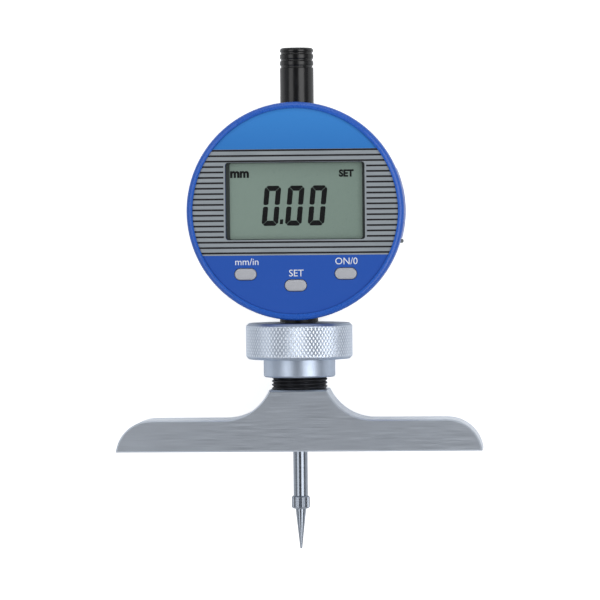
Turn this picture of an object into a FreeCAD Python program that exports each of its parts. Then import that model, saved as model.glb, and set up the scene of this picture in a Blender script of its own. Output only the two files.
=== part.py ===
import FreeCAD, Part
import math
import os
import re

import Sketcher

# Digital depth gauge: a dial head with a digital display, clamped by its stem in a split collet
# on a steel depth base. It lies on its back.
# Frame: X runs to the right along the base, Y up the spindle axis to the dust cap, Z towards the
# reader of the display. The origin is where the spindle axis meets the measuring face.
# Lengths are in millimetres and angles in degrees.

SIZES = {
    # depth base
    "base_length": 101.5,
    "base_thickness": 16.0,
    "base_end_radius": 10.0,
    "arm_rise": 8.8,
    "shoulder_radius": 14.0,
    "platform_width": 16.0,
    "platform_rise": 17.0,
    "base_edge_break": 0.4,
    "contact_hole_diameter": 6.5,
    # collet bush screwed into the base
    "spigot_diameter": 11.0,
    "spigot_length": 9.0,
    "thread_diameter": 15.5,
    "collet_cone_length": 5.2,
    "collet_tip_diameter": 10.4,
    "collet_slit_width": 1.0,
    "collet_slit_length": 11.2,
    # clamp nut
    "nut_lift": 3.4,
    "nut_hub_diameter": 19.9,
    "nut_hub_length": 5.0,
    "nut_hub_chamfer": 0.4,
    "nut_diameter": 29.6,
    "nut_grip_length": 10.0,
    "nut_chamfer": 0.8,
    "nut_roof": 1.7,
    "nut_mouth_diameter": 9.2,
    "collet_top_gap": 0.5,
    # stem of the head
    "stem_diameter": 8.0,
    "stem_length": 20.1,
    "stem_end_chamfer": 0.5,
    "stem_collar_diameter": 10.6,
    "stem_collar_depth": 1.0,
    "stem_land_length": 6.0,
    "stem_relief_diameter": 5.0,
    # spindle and contact point
    "spindle_diameter": 4.0,
    "spindle_reach": 12.65,
    "spindle_overhang": 1.8,
    "spindle_chamfer": 0.3,
    "spindle_stroke": 12.7,
    "contact_stub_diameter": 2.5,
    "contact_stub_length": 5.0,
    "contact_collar_diameter": 5.0,
    "contact_collar_length": 3.55,
    "contact_collar_chamfer": 0.35,
    "needle_root_diameter": 3.0,
    "needle_length": 11.2,
    "needle_tip_radius": 0.3,
    # dust cap
    "cap_diameter": 9.3,
    "cap_roof": 1.3,
    "cap_stroke_room": 0.6,
    "cap_edge_radius": 0.8,
    "cap_inside_diameter": 6.4,
    "cap_groove_count": 3,
    "cap_groove_pitch": 1.85,
    "cap_groove_drop": 1.5,
    "cap_groove_radius": 0.45,
    "cap_groove_depth": 0.3,
    "cap_seat_margin": 0.5,
    "cap_seat_depth": 0.4,
    # upper bush
    "bush_boss_diameter": 7.4,
    "bush_boss_height": 5.8,
    "bush_flange_margin": 0.4,
    "bush_flange_thickness": 1.5,
    # head
    "head_gap": 1.0,
    "bezel_diameter": 60.0,
    "bezel_rise": 12.5,
    "bezel_width": 1.7,
    "bezel_round": 1.4,
    "case_setback": 0.8,
    "case_wall": 2.2,
    "case_back_depth": 14.8,
    "parting_rise": 7.0,
    "lip_depth": 1.2,
    "lip_width": 1.3,
    "web_drop": 4.2,
    "web_thickness": 1.5,
    "boss_height": 2.6,
    "stem_boss_width": 14.0,
    "upper_boss_width": 12.0,
    "boss_wall": 1.5,
    "rear_cover_thickness": 1.8,
    "rear_cover_round": 1.0,
    "rear_cover_setback": 0.6,
    # face plate with its sunken lines and window
    "face_recess": 0.5,
    "face_plate_thickness": 0.6,
    "line_count": 20,
    "line_width": 0.5,
    "line_depth": 0.2,
    "line_pitch": 1.484,
    "first_line_offset": 16.75,
    "window_width_share": 0.64,
    "window_height_share": 0.355,
    "window_offset": 2.8,
    "window_corner_radius": 0.8,
    "window_border": 0.45,
    # front wall, lens and display
    "front_wall": 1.8,
    "lens_thickness": 0.9,
    "lens_margin": 1.05,
    "display_gap": 0.3,
    "display_front_thickness": 0.9,
    "display_rear_thickness": 1.1,
    "display_rear_margin": 0.9,
    "holder_margin": 0.65,
    "holder_side_inset": 2.2,
    "holder_end_inset": 1.65,
    "elastomer_width": 2.0,
    # board
    "board_rise": 4.3,
    "board_thickness": 1.2,
    "board_edge_gap": 1.7,
    "board_notch_gap": 0.3,
    "post_inset": 3.7,
    "post_diameter": 4.4,
    "board_post_upper_angle": 59.0,
    "board_post_lower_angle": 30.0,
    "board_screw_diameter": 1.8,
    "board_screw_head_diameter": 3.4,
    "board_screw_head_top_diameter": 2.8,
    "board_screw_head_height": 1.0,
    "board_screw_length": 5.0,
    "cover_post_angle": 45.0,
    "cover_screw_diameter": 2.0,
    "cover_screw_head_diameter": 3.8,
    "cover_screw_length": 6.0,
    "screw_slot_width": 0.5,
    "screw_slot_depth": 0.5,
    "screw_hole_spare": 0.5,
    # buttons
    "button_length": 6.0,
    "button_width": 3.1,
    "button_rise": 0.4,
    "button_flange_thickness": 1.0,
    "button_flange_margin": 0.7,
    "button_edge_radius": 0.3,
    "button_foot_diameter": 2.4,
    "button_travel": 0.6,
    "side_button_inset": 4.91,
    "side_button_angle": 51.34,
    "middle_button_inset": 6.6,
    "dome_diameter": 4.6,
    "dome_top_diameter": 2.6,
    "dome_height": 0.6,
    # carrier and scale on the spindle
    "carrier_side_gap": 0.5,
    "carrier_length": 26.0,
    "carrier_back": 3.2,
    "carrier_front": 3.2,
    "carrier_slit_width": 0.8,
    "scale_width": 9.0,
    "scale_length": 31.0,
    "scale_thickness": 0.7,
    "scale_inset": 1.0,
    "guide_pin_diameter": 2.5,
    "guide_pin_offset": 4.2,
    "guide_pin_height": 12.0,
    "guide_pin_depth": 4.2,
    "guide_pin_reach": 1.6,
    "guide_pin_chamfer": 0.4,
    "stop_ring_diameter": 7.0,
    "stop_ring_thickness": 1.4,
    "spring_wire_diameter": 0.4,
    "spring_diameter": 5.2,
    "spring_turns": 9.0,
    # battery drawer
    "cell_diameter_share": 0.26666667,
    "cell_thickness": 3.2,
    "cell_chamfer": 0.3,
    "cell_offset_spare": 0.5,
    "drawer_offset": 1.9,
    "drawer_side_wall": 1.7,
    "drawer_floor": 1.2,
    "drawer_rim": 0.2,
    "drawer_end_wall": 1.3,
    "drawer_stand_out": 0.55,
    "push_hole_diameter": 7.0,
    "nail_groove_width": 1.2,
    "nail_groove_length": 9.0,
    "nail_groove_depth": 0.7,
    "guide_rib_width": 1.2,
    "catch_width": 1.1,
    "catch_height": 1.8,
    "catch_length": 7.6,
    "catch_stand_out": 1.2,
    "catch_lift": 1.0,
    "catch_round": 0.4,
    # contact leaves
    "leaf_thickness": 0.3,
    "leaf_width": 3.0,
    "leaf_inset": 4.5,
    "leaf_drop": 1.2,
    "leaf_foot": 2.0,
    "leaf_reach": 8.0,
    "negative_leaf_offset": 0.0,
    "positive_leaf_offset": 5.6,
    # clearances
    "seat_clearance": 0.02,
    "running_clearance": 0.05,
    "thread_clearance": 0.1,
    "collar_clearance": 0.2,
    "slide_clearance": 0.2,
    "rest_gap": 0.1,
    "button_clearance": 0.15,
    "contact_gap": 0.2,
}

doc = FreeCAD.newDocument("DepthGauge")
sheet = doc.addObject("Spreadsheet::Sheet", "Sizes")
for row, (name, size) in enumerate(SIZES.items(), start=1):
    sheet.set(f"A{row}", name)
    sheet.set(f"B{row}", str(size))
    sheet.setAlias(f"B{row}", name)
doc.recompute()

# Levels that follow from the sizes, as formulas of the sheet.
SPINDLE_RADIUS = "(spindle_diameter / 2)"
BUSH_BOTTOM = "(platform_rise - spigot_length)"
NUT_BOTTOM = "(platform_rise + nut_lift)"
HUB_TOP = f"({NUT_BOTTOM} + nut_hub_length)"
NUT_TOP = f"({HUB_TOP} + nut_grip_length)"
COLLET_TOP = f"({NUT_TOP} - nut_roof - collet_top_gap)"
CONE_BOTTOM = f"({COLLET_TOP} - collet_cone_length)"
DIAL = f"({NUT_TOP} + head_gap + bezel_diameter / 2)"
CASE_RADIUS = "(bezel_diameter / 2 - case_setback)"
INNER_RADIUS = f"({CASE_RADIUS} - case_wall)"
BOSS_REACH = f"({INNER_RADIUS} - boss_height)"
COLLAR_BOTTOM = f"({NUT_TOP} + collar_clearance)"
COLLAR_TOP = f"({DIAL} - {CASE_RADIUS} + stem_collar_depth)"
STEM_BOTTOM = f"({COLLAR_BOTTOM} - stem_length)"
STEM_TOP = f"({DIAL} - {BOSS_REACH})"
CAP_SEAT = f"({DIAL} + {CASE_RADIUS} - cap_seat_depth)"
BUSH_SEAT = f"({DIAL} + {BOSS_REACH})"
FLANGE_BOTTOM = f"({BUSH_SEAT} - bush_flange_thickness)"
BOSS_TOP = f"({CAP_SEAT} + bush_boss_height)"
SPINDLE_TOP = f"({CAP_SEAT} + spindle_overhang)"
CAP_INSIDE = f"({SPINDLE_TOP} + spindle_stroke + cap_stroke_room)"
CAP_TOP = f"({CAP_INSIDE} + cap_roof)"
CARRIER_BOTTOM = f"({STEM_TOP} + stop_ring_thickness + rest_gap)"
CARRIER_TOP = f"({CARRIER_BOTTOM} + carrier_length)"
PIN_HEIGHT = f"({CARRIER_BOTTOM} + guide_pin_height)"
SCALE_BOTTOM = f"({CARRIER_BOTTOM} + scale_inset)"

WEB_BACK = "(0 - web_drop - web_thickness)"
CASE_BACK = "(rear_cover_thickness - case_back_depth)"
FACE_FRONT = "(bezel_rise - face_recess)"
WALL_FRONT = f"({FACE_FRONT} - face_plate_thickness)"
WALL_BACK = f"({WALL_FRONT} - front_wall)"
LENS_BACK = f"({WALL_FRONT} - lens_thickness)"
DISPLAY_FRONT = f"({LENS_BACK} - display_gap)"
DISPLAY_STEP = f"({DISPLAY_FRONT} - display_front_thickness)"
DISPLAY_BACK = f"({DISPLAY_STEP} - display_rear_thickness)"
BOARD_FRONT = "(board_rise + board_thickness)"
FACE_RADIUS = "(bezel_diameter / 2 - bezel_width)"
WINDOW = f"({DIAL} + window_offset)"
WINDOW_WIDTH = "(bezel_diameter * window_width_share)"
WINDOW_HEIGHT = "(bezel_diameter * window_height_share)"
HOLDER_WIDTH = f"({WINDOW_WIDTH} - 2 * holder_side_inset)"
HOLDER_HEIGHT = f"({WINDOW_HEIGHT} - 2 * holder_end_inset)"
POST_RADIUS = f"({INNER_RADIUS} - post_inset)"
BUTTON_FRONT = f"({FACE_FRONT} + button_rise)"
FLANGE_FRONT = f"({WALL_BACK} - display_gap)"
FLANGE_BACK = f"({FLANGE_FRONT} - button_flange_thickness)"
DOME_TOP = f"({BOARD_FRONT} + dome_height)"
FOOT_BACK = f"({DOME_TOP} + button_travel + rest_gap)"
DRAWER_MIDDLE = f"({DIAL} + drawer_offset)"
CELL_DIAMETER = "(bezel_diameter * cell_diameter_share)"
DRAWER_WIDTH = f"({CELL_DIAMETER} + 2 * drawer_side_wall)"
DRAWER_BACK = "(slide_clearance - web_drop)"
CELL_BACK = f"({DRAWER_BACK} + drawer_floor)"
DRAWER_FRONT = f"({CELL_BACK} + cell_thickness + drawer_rim)"
CELL_OFFSET = f"({CELL_DIAMETER} + cell_offset_spare)"
DRAWER_END = f"({CELL_OFFSET} - {CELL_DIAMETER} / 2 - slide_clearance - drawer_end_wall)"
CARRIER_WIDTH = f"(2 * ({DRAWER_END} - carrier_side_gap))"
LEAF_TAIL = f"({CELL_OFFSET} - leaf_inset)"
CATCH_TOP = f"({DRAWER_MIDDLE} - {DRAWER_WIDTH} / 2 - slide_clearance)"
OPENING_BOTTOM = f"({CATCH_TOP} - catch_width - running_clearance)"
OPENING_TOP = f"({DRAWER_MIDDLE} + {DRAWER_WIDTH} / 2 + slide_clearance)"


def named(formula):
    """The formula with every size written as the sheet's own cell."""
    return re.sub(r"[a-z_]+", lambda word: f"Sizes.{word[0]}" if word[0] in SIZES else word[0], formula)


def value(formula):
    """The present value of a formula of the sheet."""
    return float(sheet.evalExpression(named(formula)))


def bind(thing, place, formula):
    """Tie one property of an object to a formula of the sheet."""
    thing.setExpression(place, named(formula))


def new_body(label):
    body = doc.addObject("PartDesign::Body", label)
    body.Label = label
    return body


def sketch_on(body, role, level="0"):
    """A sketch on one of the body's own origin planes, lifted to a level along the plane's normal."""
    sketch = body.newObject("Sketcher::SketchObject", f"{body.Name}_sketch")
    plane = next(item for item in body.Origin.OriginFeatures if item.Role == role)
    sketch.AttachmentSupport = (plane, [""])
    sketch.MapMode = "FlatFace"
    bind(sketch, "AttachmentOffset.Base.z", level)
    return sketch


def front_sketch(body, level="0"):
    """A sketch seen from the reader's side, at a level of Z. It is extruded towards the reader."""
    return sketch_on(body, "XY_Plane", level)


def top_sketch(body, height):
    """A sketch across the spindle axis at a height of Y. It is extruded down towards the base."""
    return sketch_on(body, "XZ_Plane", f"0 - {height}")


def tie(sketch, kind, geometry, formula):
    """A radius or a like constraint of one piece of geometry, tied to the sheet."""
    number = sketch.addConstraint(Sketcher.Constraint(kind, geometry, value(formula)))
    bind(sketch, f"Constraints[{number}]", formula)


def tie_point(sketch, geometry, end, x, y):
    """Hold one point of a sketch at formulas of the sheet."""
    for kind, formula in (("DistanceX", x), ("DistanceY", y)):
        constraint = Sketcher.Constraint(kind, -1, 1, geometry, end, value(formula))
        bind(sketch, f"Constraints[{sketch.addConstraint(constraint)}]", formula)


class Outline:
    """A closed outline of lines and arcs through named points."""

    def __init__(self, sketch, x, y):
        self.sketch = sketch
        self.points = [(x, y)]
        self.bends = []

    def line(self, x, y):
        self.points.append((x, y))
        self.bends.append(None)
        return self

    def arc(self, x, y, radius, turn="left"):
        """An arc to a point. Its centre lies to the left or right of the way there."""
        self.points.append((x, y))
        self.bends.append((radius, turn))
        return self

    def close(self, radius=None, turn="left"):
        """Back to the first point, straight or by an arc."""
        self.bends.append(None if radius is None else (radius, turn))
        stops = self.points[1:] + self.points[:1]
        ends = []
        for start, stop, bend in zip(self.points, stops, self.bends):
            first = FreeCAD.Vector(value(start[0]), value(start[1]), 0)
            last = FreeCAD.Vector(value(stop[0]), value(stop[1]), 0)
            ends.append(self.straight(first, last) if bend is None else self.bow(first, last, bend))
        for number, (geometry, first_end, last_end) in enumerate(ends):
            following = ends[(number + 1) % len(ends)]
            joint = Sketcher.Constraint("Coincident", geometry, last_end, following[0], following[1])
            self.sketch.addConstraint(joint)
            tie_point(self.sketch, geometry, first_end, *self.points[number])

    def straight(self, first, last):
        return self.sketch.addGeometry(Part.LineSegment(first, last)), 1, 2

    def bow(self, first, last, bend):
        radius, turn = value(bend[0]), bend[1]
        chord = last - first
        side = FreeCAD.Vector(-chord.y, chord.x, 0).normalize()
        rise = math.sqrt(max(radius ** 2 - (chord.Length / 2) ** 2, 0))
        centre = (first + last) / 2 + side * (rise if turn == "left" else -rise)
        begin, end = (first, last) if turn == "left" else (last, first)
        angles = [math.atan2(point.y - centre.y, point.x - centre.x) for point in (begin, end)]
        circle = Part.Circle(centre, FreeCAD.Vector(0, 0, 1), radius)
        geometry = self.sketch.addGeometry(Part.ArcOfCircle(circle, *angles))
        tie(self.sketch, "Radius", geometry, bend[0])
        return (geometry, 1, 2) if turn == "left" else (geometry, 2, 1)


def polygon(sketch, *points):
    outline = Outline(sketch, *points[0])
    for point in points[1:]:
        outline.line(*point)
    outline.close()


def rectangle(sketch, left, bottom, right, top):
    polygon(sketch, (left, bottom), (right, bottom), (right, top), (left, top))


def rounded_rectangle(sketch, x, y, width, height, radius):
    """A rectangle about a middle point with its corners rounded."""
    left, right = f"{x} - {width} / 2", f"{x} + {width} / 2"
    bottom, top = f"{y} - {height} / 2", f"{y} + {height} / 2"
    outline = Outline(sketch, f"{left} + {radius}", bottom)
    outline.line(f"{right} - {radius}", bottom).arc(right, f"{bottom} + {radius}", radius)
    outline.line(right, f"{top} - {radius}").arc(f"{right} - {radius}", top, radius)
    outline.line(f"{left} + {radius}", top).arc(left, f"{top} - {radius}", radius)
    outline.line(left, f"{bottom} + {radius}").close(radius)


def circle(sketch, x, y, diameter):
    middle = FreeCAD.Vector(value(x), value(y), 0)
    ring = Part.Circle(middle, FreeCAD.Vector(0, 0, 1), value(diameter) / 2)
    geometry = sketch.addGeometry(ring)
    tie_point(sketch, geometry, 3, x, y)
    tie(sketch, "Diameter", geometry, diameter)


def slot(sketch, x, y, length, width, upright=False):
    """A slot with round ends about a middle point, lying along the first axis or upright."""
    reach, half = (value(length) - value(width)) / 2, value(width) / 2
    middle = FreeCAD.Vector(value(x), value(y), 0)
    along = FreeCAD.Vector(0, 1, 0) if upright else FreeCAD.Vector(1, 0, 0)
    across = FreeCAD.Vector(-along.y, along.x, 0)
    turn = math.pi / 2 if upright else 0
    normal = FreeCAD.Vector(0, 0, 1)
    shift = f"({length} - {width}) / 2"
    bows = []
    for side, begin in ((1, turn - math.pi / 2), (-1, turn + math.pi / 2)):
        ring = Part.Circle(middle + along * side * reach, normal, half)
        bows.append(sketch.addGeometry(Part.ArcOfCircle(ring, begin, begin + math.pi)))
        tie_point(sketch, bows[-1], 3, x if upright else f"{x} + {side} * {shift}",
                  f"{y} + {side} * {shift}" if upright else y)
    for side, here, there in ((1, 0, 1), (-1, 1, 0)):
        start = middle + (along * reach + across * half) * side
        stop = middle + (across * half - along * reach) * side
        edge = sketch.addGeometry(Part.LineSegment(start, stop))
        sketch.addConstraint(Sketcher.Constraint("Tangent", bows[here], 2, edge, 1))
        sketch.addConstraint(Sketcher.Constraint("Tangent", edge, 2, bows[there], 1))
    tie(sketch, "Radius", bows[0], f"({width}) / 2")


def feature(body, kind, name, **settings):
    made = body.newObject(f"PartDesign::{kind}", f"{body.Name}_{name}")
    for key, setting in settings.items():
        setattr(made, key, setting)
    return made


def pad(body, sketch, length, name="pad"):
    """Solid from a sketch, along its extrusion way."""
    made = feature(body, "Pad", name, Profile=sketch)
    bind(made, "Length", length)
    doc.recompute()
    return made


def cut(body, sketch, length, name="pocket"):
    """Hollow from a sketch, along its extrusion way. The solid has to get smaller."""
    before = body.Shape.Volume
    made = feature(body, "Pocket", name, Profile=sketch, Reversed=True)
    bind(made, "Length", length)
    doc.recompute()
    if body.Shape.Volume >= before:
        raise ValueError(f"{made.Name} removes nothing")
    return made


def turned(body, sketch, name="revolution"):
    """Solid turned about the sketch's upright axis."""
    made = feature(body, "Revolution", name, Profile=sketch, ReferenceAxis=(sketch, ["V_Axis"]), Angle=360)
    doc.recompute()
    return made


def turned_out(body, sketch, name="groove"):
    """Hollow turned about the sketch's upright axis. The solid has to get smaller."""
    before = body.Shape.Volume
    made = feature(body, "Groove", name, Profile=sketch, ReferenceAxis=(sketch, ["V_Axis"]), Angle=360)
    doc.recompute()
    if body.Shape.Volume >= before:
        raise ValueError(f"{made.Name} removes nothing")
    return made


def in_row(body, original, direction, pitch, count):
    """Repeat a feature in a row with an even pitch."""
    row = feature(body, "LinearPattern", "row", Originals=[original], Direction=direction)
    bind(row, "Length", f"{pitch} * ({count} - 1)")
    bind(row, "Occurrences", count)
    body.Tip = row
    doc.recompute()
    return row


def round_about(body, original, axis, count):
    """Repeat a feature round an axis."""
    ring = feature(body, "PolarPattern", "ring", Originals=[original], Axis=axis, Angle=360)
    ring.Occurrences = count
    body.Tip = ring
    doc.recompute()
    return ring


def edges_where(body, wanted):
    """The names of the body's edges that pass a test."""
    return [f"Edge{number}" for number, edge in enumerate(body.Shape.Edges, start=1) if wanted(edge)]


def lies_at(edge, axis, level):
    """Whether a whole edge lies at one level of an axis."""
    box = edge.BoundBox
    low, high = getattr(box, f"{axis}Min"), getattr(box, f"{axis}Max")
    return abs(low - level) < 0.001 and abs(high - level) < 0.001


def soften(body, kind, edges, size):
    """Fillet or chamfer some edges of the body's tip."""
    tip = body.Tip
    made = feature(body, kind, kind.lower(), Base=(tip, edges))
    bind(made, "Radius" if kind == "Fillet" else "Size", size)
    doc.recompute()
    return made


def make_base():
    body = new_body("base")
    outline = Outline(front_sketch(body, "0 - base_thickness / 2"), "0 - base_length / 2", "0")
    arm_end = ("(base_length / 2 - sqrt(base_end_radius * base_end_radius"
               " - (base_end_radius - arm_rise) * (base_end_radius - arm_rise)))")
    shoulder_drop = "(shoulder_radius - platform_rise + arm_rise)"
    shoulder = ("(platform_width / 2 + sqrt(shoulder_radius * shoulder_radius"
                f" - {shoulder_drop} * {shoulder_drop}))")
    outline.line("base_length / 2", "0")
    outline.arc(arm_end, "arm_rise", "base_end_radius")
    outline.line(shoulder, "arm_rise")
    outline.arc("platform_width / 2", "platform_rise", "shoulder_radius", "right")
    outline.line("0 - platform_width / 2", "platform_rise")
    outline.arc(f"0 - {shoulder}", "arm_rise", "shoulder_radius", "right")
    outline.line(f"0 - {arm_end}", "arm_rise")
    outline.close("base_end_radius")
    pad(body, outline.sketch, "base_thickness")
    bore = front_sketch(body)
    spigot = "(spigot_diameter / 2 + seat_clearance)"
    polygon(bore, ("0", "0"), ("contact_hole_diameter / 2", "0"),
            ("contact_hole_diameter / 2", BUSH_BOTTOM), (spigot, BUSH_BOTTOM),
            (spigot, "platform_rise"), ("0", "platform_rise"))
    turned_out(body, bore)
    half = value("base_thickness / 2")
    rim = edges_where(body, lambda edge: lies_at(edge, "Z", half) or lies_at(edge, "Z", -half))
    soften(body, "Chamfer", rim, "base_edge_break")
    return body


def make_collet_bush():
    """Threaded bush with a bore for the stem. Its top is a cone in four split fingers."""
    body = new_body("collet_bush")
    profile = front_sketch(body)
    bore = "(stem_diameter / 2 + running_clearance)"
    polygon(profile, (bore, BUSH_BOTTOM), ("spigot_diameter / 2", BUSH_BOTTOM),
            ("spigot_diameter / 2", "platform_rise"), ("thread_diameter / 2", "platform_rise"),
            ("thread_diameter / 2", CONE_BOTTOM), ("collet_tip_diameter / 2", COLLET_TOP), (bore, COLLET_TOP))
    turned(body, profile)
    slit = top_sketch(body, COLLET_TOP)
    rectangle(slit, "0", "0 - collet_slit_width / 2", "thread_diameter", "collet_slit_width / 2")
    first = cut(body, slit, "collet_slit_length")
    round_about(body, first, (slit, ["N_Axis"]), 4)
    return body


def make_clamp_nut():
    """Nut with a plain hub below a wide grip. Its inner cone presses the collet's fingers together."""
    body = new_body("clamp_nut")
    profile = front_sketch(body)
    polygon(profile, ("thread_diameter / 2 + thread_clearance", NUT_BOTTOM),
            ("nut_hub_diameter / 2 - nut_hub_chamfer", NUT_BOTTOM),
            ("nut_hub_diameter / 2", f"{NUT_BOTTOM} + nut_hub_chamfer"), ("nut_hub_diameter / 2", HUB_TOP),
            ("nut_diameter / 2 - nut_chamfer", HUB_TOP), ("nut_diameter / 2", f"{HUB_TOP} + nut_chamfer"),
            ("nut_diameter / 2", f"{NUT_TOP} - nut_chamfer"), ("nut_diameter / 2 - nut_chamfer", NUT_TOP),
            ("nut_mouth_diameter / 2", NUT_TOP), ("nut_mouth_diameter / 2", f"{COLLET_TOP} + collet_top_gap"),
            ("collet_tip_diameter / 2 + thread_clearance", f"{COLLET_TOP} + collet_top_gap"),
            ("collet_tip_diameter / 2 + thread_clearance", COLLET_TOP),
            ("thread_diameter / 2 + thread_clearance", CONE_BOTTOM))
    turned(body, profile)
    return body


def make_stem():
    """Tube with a collar under the case. Its bore guides the spindle on two lands."""
    body = new_body("stem")
    profile = front_sketch(body)
    land = f"({SPINDLE_RADIUS} + running_clearance)"
    polygon(profile, (land, STEM_BOTTOM), ("stem_diameter / 2 - stem_end_chamfer", STEM_BOTTOM),
            ("stem_diameter / 2", f"{STEM_BOTTOM} + stem_end_chamfer"), ("stem_diameter / 2", COLLAR_BOTTOM),
            ("stem_collar_diameter / 2", COLLAR_BOTTOM), ("stem_collar_diameter / 2", COLLAR_TOP),
            ("stem_diameter / 2", COLLAR_TOP), ("stem_diameter / 2", STEM_TOP), (land, STEM_TOP),
            (land, f"{STEM_TOP} - stem_land_length"),
            ("stem_relief_diameter / 2", f"{STEM_TOP} - stem_land_length"),
            ("stem_relief_diameter / 2", f"{STEM_BOTTOM} + stem_land_length"),
            (land, f"{STEM_BOTTOM} + stem_land_length"))
    turned(body, profile)
    return body


def make_upper_bush():
    """Flanged bush through the top of the case. The dust cap screws over its boss."""
    body = new_body("upper_bush")
    profile = front_sketch(body)
    bore = f"({SPINDLE_RADIUS} + running_clearance)"
    flange = "(bush_boss_diameter / 2 + bush_flange_margin)"
    polygon(profile, (bore, FLANGE_BOTTOM), (flange, FLANGE_BOTTOM),
            (flange, BUSH_SEAT), ("bush_boss_diameter / 2", BUSH_SEAT),
            ("bush_boss_diameter / 2", BOSS_TOP), (bore, BOSS_TOP))
    turned(body, profile)
    return body


def make_dust_cap():
    """Cap over the upper end of the spindle, with grip grooves below its rounded top."""
    body = new_body("dust_cap")
    outline = Outline(front_sketch(body), "bush_boss_diameter / 2 + seat_clearance", CAP_SEAT)
    outline.line("cap_diameter / 2", CAP_SEAT)
    outline.line("cap_diameter / 2", f"{CAP_TOP} - cap_edge_radius")
    outline.arc("cap_diameter / 2 - cap_edge_radius", CAP_TOP, "cap_edge_radius")
    outline.line("0", CAP_TOP)
    outline.line("0", CAP_INSIDE)
    outline.line("cap_inside_diameter / 2", CAP_INSIDE)
    outline.line("cap_inside_diameter / 2", f"{BOSS_TOP} + collar_clearance")
    outline.line("bush_boss_diameter / 2 + seat_clearance", f"{BOSS_TOP} + collar_clearance")
    outline.close()
    turned(body, outline.sketch)
    ring = front_sketch(body)
    lowest = f"({CAP_TOP} - cap_groove_drop - (cap_groove_count - 1) * cap_groove_pitch)"
    circle(ring, "cap_diameter / 2 + cap_groove_radius - cap_groove_depth", lowest, "cap_groove_radius * 2")
    first = turned_out(body, ring)
    in_row(body, first, (ring, ["V_Axis"]), "cap_groove_pitch", "cap_groove_count")
    return body


def make_spindle():
    """Measuring rod through the whole head, with a hole for the contact point's stub."""
    body = new_body("spindle")
    profile = front_sketch(body)
    stub = "(contact_stub_diameter / 2 + seat_clearance)"
    hole_end = "(0 - spindle_reach + contact_stub_length + rest_gap)"
    polygon(profile, (stub, "0 - spindle_reach"), (SPINDLE_RADIUS, "0 - spindle_reach"),
            (SPINDLE_RADIUS, f"{SPINDLE_TOP} - spindle_chamfer"),
            (f"{SPINDLE_RADIUS} - spindle_chamfer", SPINDLE_TOP), ("0", SPINDLE_TOP),
            ("0", hole_end), (stub, hole_end))
    turned(body, profile)
    return body


def make_contact_point():
    """Screwed-in point: stub, grip collar and a long needle with a ball end."""
    body = new_body("contact_point")
    collar_low = "(0 - spindle_reach - contact_collar_length)"
    tip = f"({collar_low} - needle_length)"
    outline = Outline(front_sketch(body), "0", tip)
    outline.arc("needle_tip_radius", f"{tip} + needle_tip_radius", "needle_tip_radius")
    outline.line("needle_root_diameter / 2", collar_low)
    outline.line("contact_collar_diameter / 2 - contact_collar_chamfer", collar_low)
    outline.line("contact_collar_diameter / 2", f"{collar_low} + contact_collar_chamfer")
    outline.line("contact_collar_diameter / 2", "0 - spindle_reach - contact_collar_chamfer")
    outline.line("contact_collar_diameter / 2 - contact_collar_chamfer", "0 - spindle_reach")
    outline.line("contact_stub_diameter / 2", "0 - spindle_reach")
    outline.line("contact_stub_diameter / 2", "0 - spindle_reach + contact_stub_length")
    outline.line("0", "0 - spindle_reach + contact_stub_length")
    outline.close()
    turned(body, outline.sketch)
    return body


def make_scale_carrier():
    """Block clamped on the spindle by a slit, which carries the scale and the guide pin."""
    body = new_body("scale_carrier")
    block = front_sketch(body, "0 - carrier_back")
    rectangle(block, f"0 - {CARRIER_WIDTH} / 2", CARRIER_BOTTOM, f"{CARRIER_WIDTH} / 2", CARRIER_TOP)
    pad(body, block, "carrier_back + carrier_front")
    bore = top_sketch(body, CARRIER_TOP)
    circle(bore, "0", "0", "spindle_diameter + 2 * seat_clearance")
    cut(body, bore, "carrier_length")
    slit = top_sketch(body, CARRIER_TOP)
    rectangle(slit, "0", "0 - carrier_slit_width / 2", CARRIER_WIDTH, "carrier_slit_width / 2")
    cut(body, slit, "carrier_length")
    hole = front_sketch(body, "0 - carrier_back")
    circle(hole, "0 - guide_pin_offset", PIN_HEIGHT, "guide_pin_diameter + 2 * seat_clearance")
    cut(body, hole, "guide_pin_depth")
    return body


def make_scale_strip():
    body = new_body("scale_strip")
    strip = front_sketch(body, "carrier_front")
    rectangle(strip, "0 - scale_width / 2", SCALE_BOTTOM, "scale_width / 2", f"{SCALE_BOTTOM} + scale_length")
    pad(body, strip, "scale_thickness")
    return body


def make_guide_pin():
    """Pin from the carrier into the slot of the web, so that the spindle can't turn."""
    body = new_body("guide_pin")
    end = f"({WEB_BACK} - guide_pin_reach)"
    section = front_sketch(body, end)
    circle(section, "0 - guide_pin_offset", PIN_HEIGHT, "guide_pin_diameter")
    pad(body, section, f"guide_pin_depth - carrier_back - {end}")
    rim = edges_where(body, lambda edge: lies_at(edge, "Z", value(end)))
    soften(body, "Chamfer", rim, "guide_pin_chamfer")
    return body


def make_stop_ring():
    """Rubber ring on the stem's inner end, on which the carrier comes to rest."""
    body = new_body("stop_ring")
    section = front_sketch(body)
    rectangle(section, f"{SPINDLE_RADIUS} + slide_clearance", STEM_TOP,
              "stop_ring_diameter / 2", f"{STEM_TOP} + stop_ring_thickness")
    turned(body, section)
    return body


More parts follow.
